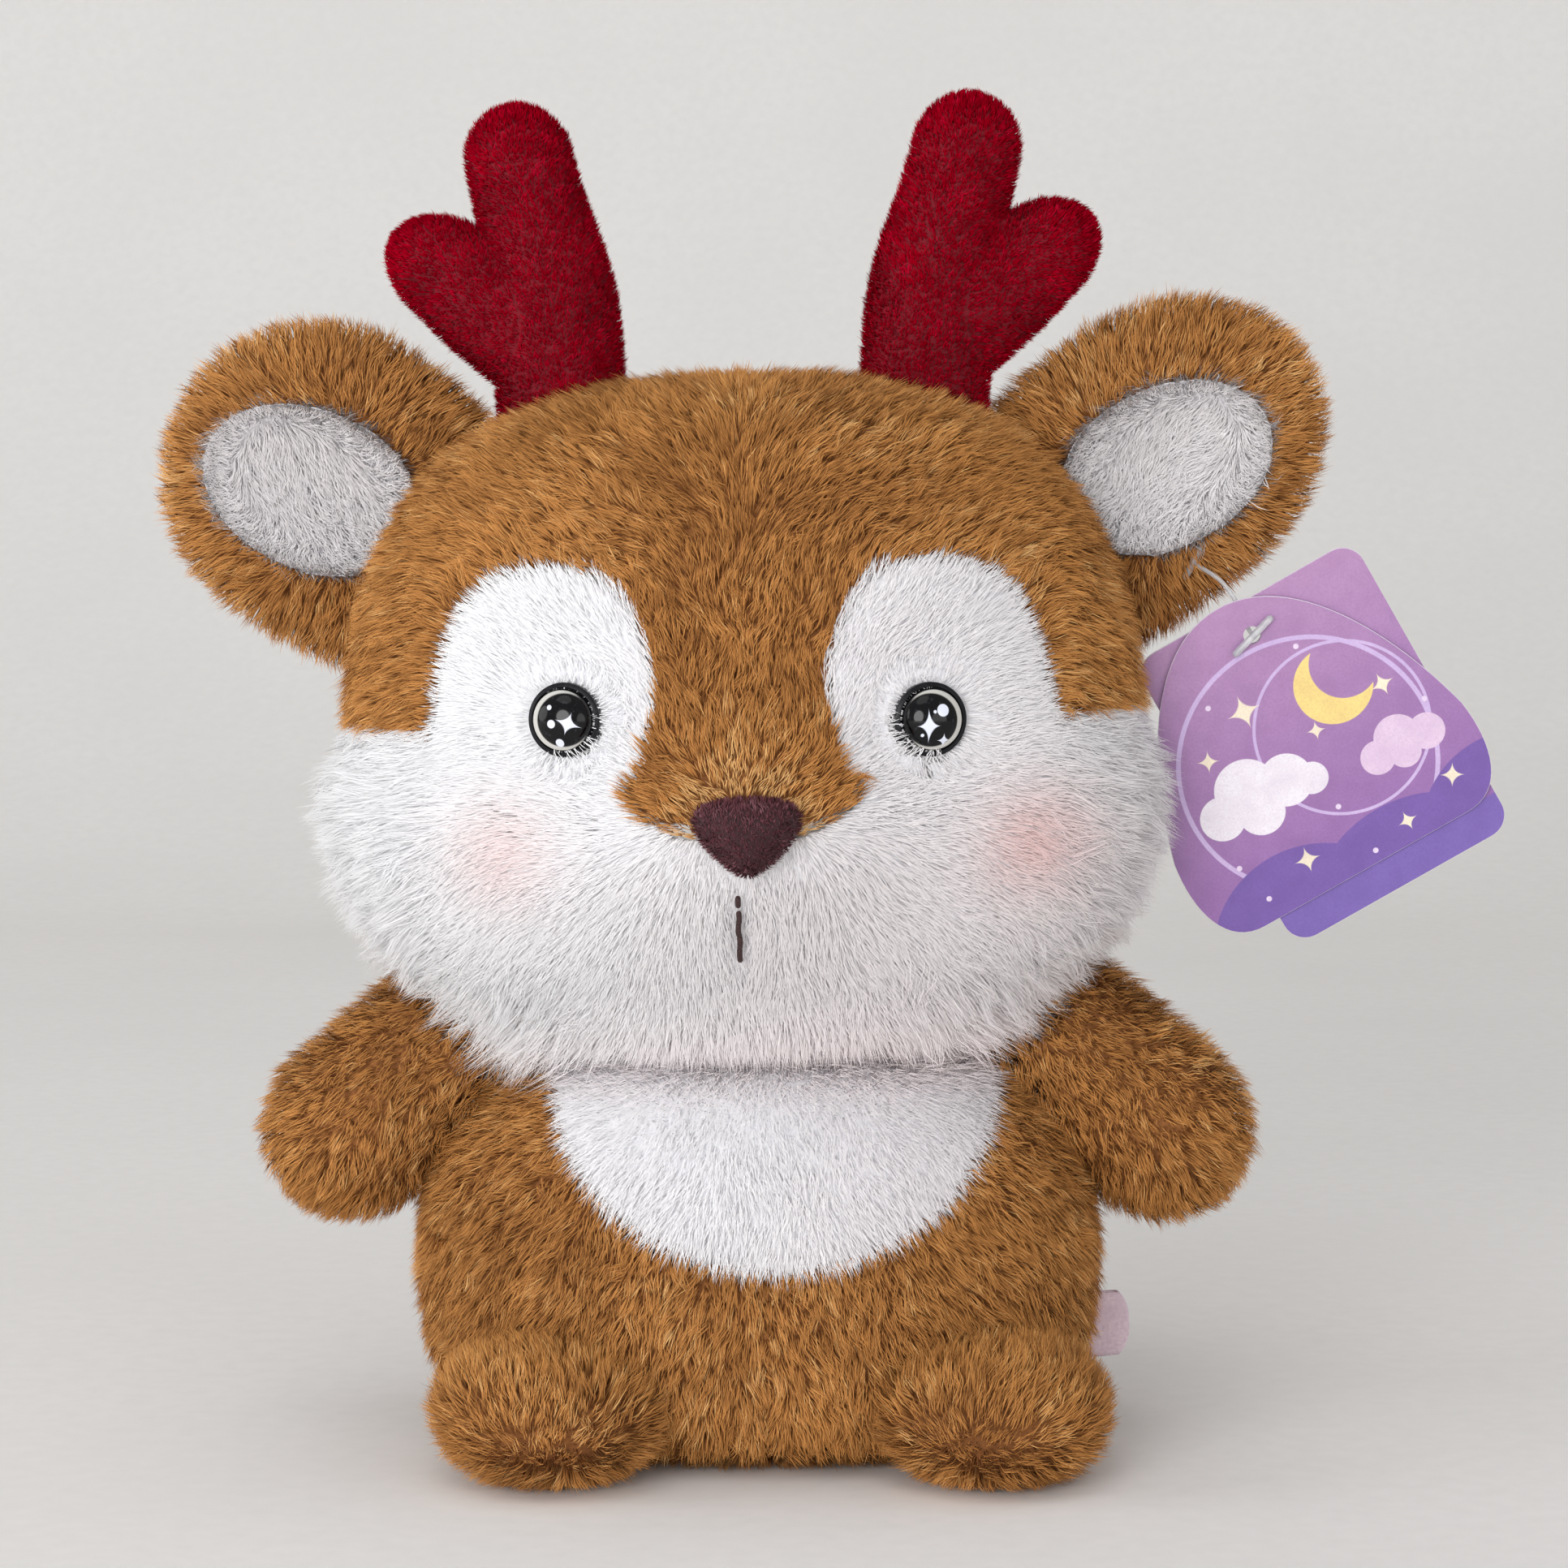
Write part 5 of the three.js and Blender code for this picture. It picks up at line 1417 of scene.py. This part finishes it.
four_star, given, out = node_group(
    "four_pointed_glint",
    ON_PLANE + [("Half Wide", "Float", 1.0), ("Half Tall", "Float", 1.0), ("Turn", "Float", 0.0)],
    [("Mask", "Float")])
spun = add_node(four_star, "VectorRotate", {
    "Vector": from_middle(four_star, given), "Angle": given["Turn"],
}, rotation_type="Z_AXIS").outputs[0]
parts = add_node(four_star, "SeparateXYZ", {0: spun}).outputs
shares = [maths(four_star, "DIVIDE", maths(four_star, "ABSOLUTE", parts[k]), given[size])
          for k, size in enumerate(("Half Wide", "Half Tall"))]
total = maths(four_star, "ADD", *(maths(four_star, "POWER", share, GLINT_POWER) for share in shares))
four_star.links.new(ranged(four_star, total, 1.06, 0.94), out["Mask"])
print("spot group", len(round_spot.nodes), "nodes, glint group", len(four_star.nodes), "nodes")


# %% [markdown]
# ## Measuring on a plane
# A print must stay on its card or its eye, however that is turned. So places are measured
# from a middle along two directions of the piece itself, in millimetres.


# %% Masks on a plane
def plane_coordinates(tree, place, across_axis=0, up_axis=1):
    """Millimetres across and up on a piece's own plane, from its object coordinates."""
    at = add_node(tree, "TexCoord").outputs["Object"]
    off = add_node(tree, "VectorMath", {0: at, 1: tuple(place[:3, 3] * MM)}, operation="SUBTRACT").outputs[0]
    found = []
    for axis in (across_axis, up_axis):
        dot = add_node(tree, "VectorMath", {0: off, 1: tuple(place[:3, axis] / MM)}, operation="DOT_PRODUCT")
        found.append(dot.outputs["Value"])
    return found


def spot(tree, plane, x, z, radius, soft=0.15):
    return group_node(tree, round_spot, {
        "Across": plane[0], "Up": plane[1], "Middle Across": x, "Middle Up": z, "Radius": radius, "Soft": soft,
    }).outputs[0]


def glint(tree, plane, x, z, wide, tall, turn):
    return group_node(tree, four_star, {
        "Across": plane[0], "Up": plane[1], "Middle Across": x, "Middle Up": z,
        "Half Wide": wide, "Half Tall": tall, "Turn": turn,
    }).outputs[0]


def joined(tree, masks):
    """One mask wherever any of these is."""
    whole = masks[0]
    for mask in masks[1:]:
        whole = maths(tree, "MAXIMUM", whole, mask)
    return whole


def without(tree, mask, taken):
    """A mask with another taken out of it."""
    return maths(tree, "SUBTRACT", mask, taken, clamp=True)


print("masks ready")

# %% [markdown]
# ## The eyes' finish
# The silver crescent is a disc with a smaller, shifted disc taken out of it. It is painted
# refraction: the silver ring that lies under a clear eye dome, as the dome bends it into view
# on the eye's outer side. The two eyes face different ways, so each has glints of its own.
# The black below them has a faint haze of specks, as moulded plastic has.

# %% Eye materials and pieces
EYE_PRINT_AND_REFRACTION = {
    -1: dict(crescent=(0.75, 0.1), spots=[(-1.1, -0.5, 0.8), (-1.5, 2.4, 0.5), (0.1, -3.9, 0.8)],
             glints=[(1.9, -0.5, 2.4, 2.1, 0.35)]),
    1: dict(crescent=(-0.75, 0.0), spots=[(1.1, 1.7, 1.15), (-0.4, 1.5, 0.35), (-2.6, -2.6, 0.35)],
            glints=[(-1.5, -1.0, 2.0, 3.1, 0.0), (1.3, -3.6, 1.3, 1.3, 0.0)]),
}


def dome_material(side, place):
    made, tree, shader = material(f"eye_dome_{side + 1}", Roughness=0.1, Specular_IOR_Level=0.3)
    plane = plane_coordinates(tree, place)
    look = EYE_PRINT_AND_REFRACTION[side]
    lights = [spot(tree, plane, *drawn, soft=0.12) for drawn in look["spots"]]
    lights += [glint(tree, plane, *drawn) for drawn in look["glints"]]
    # painted refraction: the silver ring under a clear dome, shown as the crescent that the dome bends it into
    outer = spot(tree, plane, 0.0, 0.0, 5.35)
    crescent = without(tree, outer, spot(tree, plane, *look["crescent"], 4.85, soft=0.25))
    place = add_node(tree, "TexCoord").outputs["Object"]
    haze = add_node(tree, "TexNoise", {"Vector": place, "Scale": 1500.0, "Detail": 2.0}).outputs[0]
    colour = mix_colours(tree, ranged(tree, haze, 0.6, 0.78), rgb(6, 6, 9), rgb(44, 44, 50))
    colour = mix_colours(tree, crescent, colour, rgb(206, 204, 198))
    colour = mix_colours(tree, joined(tree, lights), colour, rgb(228, 232, 246))
    tree.links.new(colour, shader.inputs["Base Color"])
    return made


back_finish = grained_material(
    "eye_plastic", (30, 30, 34), (14, 14, 18), 1800.0, 300.0, 0.00004, 0.3,
    Roughness=0.35, Specular_IOR_Level=0.2)
washer_finish = grained_material(
    "washer_plastic", (232, 232, 226), (214, 214, 208), 1500.0, 200.0, 0.00005, 0.3, Roughness=0.5)
for side, name in SIDES:
    seat = eye_seat(side)
    made = lathed(f"eye_turned_{name}", back_profile, seat, back_finish)
    dressed(made, f"eye_back_{name}", "head", back_finish)
    dome_finish = dome_material(side, seat)
    dome = lathed(f"eye_dome_smooth_{name}", dome_profile, seat, dome_finish)
    dressed(dome, f"eye_dome_{name}", "head", dome_finish)
    nodes[f"eye_washer_{name}"].data.materials.clear()
    nodes[f"eye_washer_{name}"].data.materials.append(washer_finish)
print("eye profiles", len(back_profile), "and", len(dome_profile), "points")

# %% [markdown]
# ## Nose and mouth
# The nose is a small stuffed pad of dark velour with three round corners, sewn to the
# bridge. Below it a few stitches of dark thread are pulled tight: a single dot, a gap, then
# a line of short stitches that don't quite meet.


# %% Nose and thread
def nose_seam(grow=0.0):
    w, h = 9.3 + grow, 13.3 + grow
    half = np.vstack([
        bezier((0, -h * 0.56), (w * 0.45, -h * 0.52), (w * 1.05, h * 0.02), (w, h * 0.2), 16),
        bezier((w, h * 0.2), (w * 0.95, h * 0.42), (w * 0.4, h * 0.44), (0, h * 0.44), 16)[1:],
    ])
    return np.vstack([half, (half * (-1, 1))[::-1][1:-1]])


def nose_form(grow=0.0):
    points, faces = pad(nose_seam(grow), 4.6 + grow)
    return carried(points + (NOSE_X, face_y(0, 43.1), 43.1), head_place), faces


def tube(path, radius, around=14, steps=40):
    """A round cord along a path, with round ends."""
    place, along, length = evenly(path, np.linspace(0, 1, steps))
    guide = np.array([0.3, 0.5, 0.81])
    wide = unit(np.cross(along, guide))
    up = np.cross(wide, along)
    near = np.minimum(np.linspace(0, 1, steps), np.linspace(1, 0, steps)) * length
    r = radius * np.sqrt(np.clip(1 - (1 - np.minimum(1, near / radius)) ** 2, 0.02, 1))
    a = np.arange(around) * 2 * np.pi / around
    cos, sin = np.cos(a)[None, :, None], np.sin(a)[None, :, None]
    rings = place[:, None] + r[:, None, None] * (wide[:, None] * cos + up[:, None] * sin)
    return ringed(rings, place[0] - along[0] * 0.05 * radius, place[-1] + along[-1] * 0.05 * radius)


def several(parts):
    """One mesh from several closed surfaces."""
    starts = np.cumsum([0] + [len(p) for p, _ in parts])
    return np.vstack([p for p, _ in parts]), np.vstack([f + s for (_, f), s in zip(parts, starts)])


cloth_piece("nose_pad", "nose", [nose_form()], "head", nose_cloth, 0.6,
            inset=0.2, reach=0.8)
roots, normals, _ = scattered(*nose_form(-0.1), PER_MM2["nose"], 120)
keep = ~within(roots, skull, 0)
upward = np.tile((0.0, 0.0, 1.0), (len(roots), 1))
grow_pile("nose_pile", roots[keep], normals[keep], upward[keep], "head", "nose_velour", nose_pile, 121,
          length=1.3, width=0.2, lay=42, lock=8, pull=0.25, wander=40, tone_size=5)
thread_finish = grained_material(
    "dark_thread", (66, 40, 38), (36, 20, 20), 2500.0, 400.0, 0.0002, 0.8, Roughness=0.7)
stitch_ends = [
    (31.8, 29.9, 0.0), (29.0, 26.6, 0.1), (26.7, 24.2, -0.15), (24.3, 21.9, 0.1), (22.0, 19.4, -0.05)]
stitches = []
for top, foot, bend in stitch_ends:
    path = []
    for t in np.linspace(0, 1, 7):
        bow = math.sin(t * math.pi)
        x, z = MOUTH_X + bend * bow, top + (foot - top) * t
        path.append((x, face_y(x, z) - 0.45 - 0.75 * bow ** 0.6, z))
    stitches.append(tube(carried(np.array(path), head_place), 0.5, 12, 24))
mouth = mesh_object("mouth_thread", *several(stitches), thread_finish)
dressed(mouth, "mouth_stitch", "head", thread_finish)
print("stitches", len(stitches))

# %% [markdown]
# ## Hang tag
# Two cards of printed board hang from the left ear on one clear fastener: a round leaf in
# front of an oblong one. Board is white inside, so its cut edge is pale round the printed
# face. The print is a night sky of the toy's own lavender: a moon, clouds and glints, drawn
# with the same masks as the eyes.


# %% Card shapes
def arc(x, z, radius, start, end, count):
    a = np.radians(np.linspace(start, end, count + 1))
    return np.stack([x + radius * np.cos(a), z + radius * np.sin(a)], 1)


def front_leaf_outline():
    half, top, waist, heel, foot = 31, 7.7, -31.3, -41.3, -50.3
    right = np.vstack([
        bezier((0, top), (half * 0.5, top), (half * 0.85, -13), (half, waist), 24),
        bezier((half, waist), (half + 1.5, heel), (half - 1, foot), (half - 9, foot), 16)[1:],
    ])
    return np.vstack([right, (right[1:] * (-1, 1))[::-1]]) + (-3.3, 0)


def back_leaf_outline():
    left, right, top, foot, corner = -22.1, 24.9, 6.3, -57, 4.5
    corners = ((right - corner, top - corner), (left + corner, top - corner),
               (left + corner, foot + corner), (right - corner, foot + corner))
    return np.vstack([arc(x, z, corner, 90 * k, 90 * k + 90, 10) for k, (x, z) in enumerate(corners)])


def card(name, outline, near, thick, print_finish, edge_finish, hole=1.7, ease=0.1):
    """A board with a hole, an eased edge, and its own finish on the cut."""
    ring = arc(0, 0, hole, 360, 0, 24)[:-1]
    smaller = outline + unit(outline.mean(0) - outline) * ease
    layers = [(smaller, near), (outline, near + ease), (outline, near + thick - ease), (smaller, near + thick)]
    points, faces, finishes = [], [], []
    n, m = len(outline), len(ring)
    for line, y in layers:
        points += [(x, y, z) for x, z in np.vstack([line, ring])]
    flat = tessellate_polygon([[Vector((x, z, 0)) for x, z in line] for line in (smaller, ring)])
    size = n + m
    for a, b, c in flat:
        faces += [(a, b, c), (c + 3 * size, b + 3 * size, a + 3 * size)]
        finishes += [0, 0]
    for layer in range(3):
        for start, count in ((0, n), (n, m)):
            for k in range(count):
                a, b = start + k + layer * size, start + (k + 1) % count + layer * size
                faces.append((b, a, a + size, b + size))
                finishes.append(1)
    data = bpy.data.meshes.new(name)
    data.from_pydata((carried(np.array(points), tag_place) * MM).tolist(), [], faces)
    data.materials.append(print_finish)
    data.materials.append(edge_finish)
    data.polygons.foreach_set("material_index", finishes)
    work = bmesh.new()
    work.from_mesh(data)
    bmesh.ops.recalc_face_normals(work, faces=work.faces)
    work.to_mesh(data)
    work.free()
    return in_scene(name, data)


print("front leaf outline", len(front_leaf_outline()), "points")

# %% [markdown]
# ## The card's print
# The sky is painted as a printer lays one ink over another: a fading ground, two thin
# rings, hills, clouds, the moon, glints and dots. Each layer is a table of places on the
# card, in millimetres from its hole. The back leaf has only the ground and a darker foot.


# %% Card print
RINGS = ((-3.0, -27.0, 25.0, 0.9), (6.0, -24.0, 17.0, 0.6))
HILLS = ((-18, -60, 21), (4, -66, 25), (26, -58, 19))
FAR_CLOUD = ((9, -32.5, 3.4), (14, -31, 4.6), (19.4, -32.6, 3.6), (14, -34, 3.2))
CLOUD = ((-22, -28, 4.4), (-15.5, -25.5, 6.2), (-8, -27.5, 5.2), (-15, -30.5, 4.6), (-3.6, -29.6, 3.2))
MOON, MOON_BITE = (8.5, -16.0, 7.6), (12.2, -13.4, 6.7)
SKY_GLINTS = (
    (-8.5, -12.0, 3.4, 0.1), (-19.0, -17.0, 2.2, 0.4), (16.5, -20.5, 2.4, 0.0), (1.5, -22.0, 1.9, 0.3),
    (-12.0, -43.0, 2.6, 0.2), (8.0, -46.0, 2.0, 0.0), (19.5, -42.5, 2.4, 0.5),
)
DOTS = ((-24, -38), (-2, -37), (22, -27), (-14, -8), (6, -6), (0, -48), (-22, -46))


def sky_layers(tree, plane):
    """The masks of the printed sky and their colours, from the back to the front."""
    def spots(places):
        return joined(tree, [spot(tree, plane, *place) for place in places])

    rings = [without(tree, spot(tree, plane, x, z, r), spot(tree, plane, x, z, r - line))
             for x, z, r, line in RINGS]
    moon = without(tree, spot(tree, plane, *MOON), spot(tree, plane, *MOON_BITE))
    glints = [glint(tree, plane, x, z, size, size, turn) for x, z, size, turn in SKY_GLINTS]
    return (
        (joined(tree, rings), (212, 188, 232)), (spots(HILLS), (122, 92, 172)),
        (spots(FAR_CLOUD), (232, 206, 232)), (spots(CLOUD), (246, 240, 248)), (moon, (250, 222, 140)),
        (joined(tree, glints), (252, 240, 214)), (spots([(x, z, 0.6) for x, z in DOTS]), (240, 222, 246)),
    )


def print_material(name, motifs):
    made, tree, shader = material(name, Roughness=0.32, Coat_Weight=0.35, Coat_Roughness=0.2)
    plane = plane_coordinates(tree, tag_place, 0, 2)
    fade = ranged(tree, plane[1], -52.0, 6.0)
    colour = mix_colours(tree, fade, rgb(150, 106, 174), rgb(184, 142, 186))
    if motifs:
        layers = sky_layers(tree, plane)
    else:
        layers = [(ranged(tree, plane[1], -49.6, -50.0), (126, 102, 182))]
    for mask, ink in layers:
        colour = mix_colours(tree, mask, colour, rgb(*ink))
    grain = grain_node(tree, WHITE, (238, 234, 240), 2600.0, 200.0)
    colour = mix_colours(tree, 1.0, colour, grain.outputs["Color"], "MULTIPLY")
    tree.links.new(colour, shader.inputs["Base Color"])
    roughen(tree, shader, grain.outputs["Height"], 0.00004, 0.4)
    return made


CARD_THICK = 0.45
edge_finish = grained_material(
    "card_edge", (238, 230, 242), (216, 204, 226), 2400.0, 300.0, 0.00005, 0.4, Roughness=0.7)
front_print, back_print = print_material("front_print", True), print_material("back_print", False)
front_leaf = card("tag_front_card", front_leaf_outline(), -0.225, CARD_THICK, front_print, edge_finish)
back_leaf = card("tag_back_card", back_leaf_outline(), 0.725, CARD_THICK, back_print, edge_finish)
for made, node, body in (
    (front_leaf, "tag_front_leaf", "front_leaf"), (back_leaf, "tag_back_leaf", "back_leaf"),
):
    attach(made, body)
    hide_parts(node)
print("cards", len(front_leaf.data.polygons), len(back_leaf.data.polygons), "faces")

# %% [markdown]
# ## Clear fastener
# A tagging fastener is one moulded thread of clear plastic with a bar at each end. It lets
# light through and is a little cloudy.

# %% Fastener
clear_finish = grained_material(
    "clear_fastener", (244, 244, 246), (226, 228, 232), 1800.0, 300.0, depth=None,
    Roughness=0.22, Transmission_Weight=0.6, IOR=1.46)
filament = [(0, -1.225, 0), (0, 0, 0), (0, 1.175, 0.1), (0, 2.525, 1.4), (0.5, 2.925, 6), (0, 4.125, 11),
            (-2.8, 7.5, 16.2)]
front_bar = [(-5, -1.225, -1.5), (0, -1.225, 0), (5, -1.225, 1.5)]
held_bar = [(-5.8, 7.5, 14.2), (-2.8, 7.5, 16.2), (0.2, 7.5, 18.2)]
parts = [tube(carried(np.array(path, float), tag_place), radius)
         for path, radius in ((filament, 0.42), (front_bar, 0.68), (held_bar, 0.68))]
fastener = mesh_object("tag_clear_fastener", *several(parts), clear_finish)
dressed(fastener, "tag_fastener", "left_ear", clear_finish)
print("fastener", len(fastener.data.vertices), "points")

# %% [markdown]
# ## Care label
# The care label is a satin ribbon, folded over and caught in the side seam. Its two plies
# stand a little apart at the fold. It is modelled as one sheet along the fold's line, thick
# enough to be closed, with a fine weave in its surface.

# %% Care label
RIBBON_HALF, RIBBON_REACH, RIBBON_THICK = 6.5, 16.7, 0.22
ribbon_finish, tree, shader = material("satin_ribbon", Roughness=0.42, Sheen_Weight=0.3, Sheen_Roughness=0.3)
place = add_node(tree, "TexCoord").outputs["Object"]
weave = add_node(tree, "TexWave", {"Vector": place, "Scale": 900.0, "Distortion": 0.4}, bands_direction="Z")
grain = grain_node(tree, rgb(246, 224, 234), (226, 198, 214), 1600.0, 130.0)
tree.links.new(grain.outputs["Color"], shader.inputs["Base Color"])
roughen(tree, shader, weave.outputs["Fac"], 0.00008, 0.5)


def ribbon_point(x, y, h):
    """A place so far out along the fold, off its middle plane and up the ribbon's width."""
    far = x / RIBBON_REACH
    corner_in = 2.2 * (abs(h) / RIBBON_HALF) ** 3 * far ** 2
    wave = 0.3 * math.sin(h / 3.1) * (x / 16) ** 2
    return x - corner_in, y + wave, h * (1 - 0.06 * far ** 3)


label_joint = next(j for j in frame["joints"] if j["name"] == "label_fold")
label_place = moved(*(np.array(label_joint["pos_m"]) / MM)) @ turned("Z", 18)
bend = [(15.7 + 1.0 * math.cos(a), 1.0 * math.sin(a)) for a in np.radians(np.linspace(-90, 90, 15))]
near_ply = [(-0.6, -0.22), (4, -0.24), (8, -0.3), (12, -0.62)]
far_ply = [(12, 0.62), (8, 0.3), (4, 0.24), (-0.6, 0.22)]
line = np.array(near_ply + bend + far_ply)
widths = np.linspace(-RIBBON_HALF, RIBBON_HALF, 14)
grid = np.array([[ribbon_point(x, y, h) for h in widths] for x, y in line])
rows, cols = grid.shape[:2]
quads = [(r * cols + c, r * cols + c + 1, (r + 1) * cols + c + 1, (r + 1) * cols + c)
         for r in range(rows - 1) for c in range(cols - 1)]
label = mesh_object("care_ribbon", carried(grid.reshape(-1, 3), label_place), np.array(quads), ribbon_finish)
thicken = label.modifiers.new("ribbon", "SOLIDIFY")
thicken.thickness, thicken.offset = RIBBON_THICK * MM, 0
settle_modifiers(label)
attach(label, "label")
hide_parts("care_label")

# %% [markdown]
# ## Floor
# The toy sits on a plain pale floor that curves up behind it, so that no edge shows. It is
# one strip bent along a rail, far wider than the picture.

# %% Floor
floor_finish = grained_material(
    "pale_floor", (250, 248, 246), (246, 244, 242), 200.0, 8.0, depth=None,
    Roughness=0.8, Specular_IOR_Level=0.2)
bend_start, bend_radius, half_wide = 900, 700, 3200
bend = [(bend_start + bend_radius * math.sin(a), bend_radius - bend_radius * math.cos(a))
        for a in np.radians(np.linspace(0, 90, 25))]
rail = [(-2600, 0)] + bend + [(1600, 3200)]
sweep = np.array([[(x, y, z) for x in (-half_wide, half_wide)] for y, z in rail], float)
quads = np.array([(2 * k, 2 * k + 1, 2 * k + 3, 2 * k + 2) for k in range(len(rail) - 1)])
floor = mesh_object("pale_sweep", sweep.reshape(-1, 3), quads, floor_finish)
print("floor", len(quads), "faces")

# %% [markdown]
# ## Light
# A broad soft lamp from the front left shapes the toy. A weaker low one from the right
# fills, a small one at the left side lights the rims, and a small one above lights the
# crown. The pale room gives the rest. Their level is set so that a colour looks about as it
# was mixed.


# %% Lamps
def soft_lamp(name, place, size, power):
    """A round soft lamp that looks at the toy; places in metres, power in watts."""
    data = bpy.data.lights.new(name, "AREA")
    data.shape, data.size, data.energy = "DISK", size, power
    made = in_scene(name, data)
    made.location = place
    made.rotation_mode = "QUATERNION"
    made.rotation_quaternion = (look_at - Vector(place)).to_track_quat("-Z", "Y")


soft_lamp("broad_lamp", (-0.62, -1.75, 0.38), 1.1, 20.5)
soft_lamp("fill_lamp", (1.1, -1.4, 0.12), 1.2, 6.5)
soft_lamp("side_lamp", (-1.5, -0.3, 0.45), 0.9, 4.5)
soft_lamp("top_lamp", (-0.3, -0.7, 1.5), 1.0, 2.5)
room = bpy.data.worlds.new("pale_room")
room.use_nodes = True
tree = room.node_tree
backdrop = tree.nodes["Background"]
backdrop.inputs["Color"].default_value = (1, 1, 1, 1)
backdrop.inputs["Strength"].default_value = 0.46
bpy.context.scene.world = room
bpy.context.scene.view_settings.view_transform = "Standard"
print("lamps", len(bpy.data.lights))
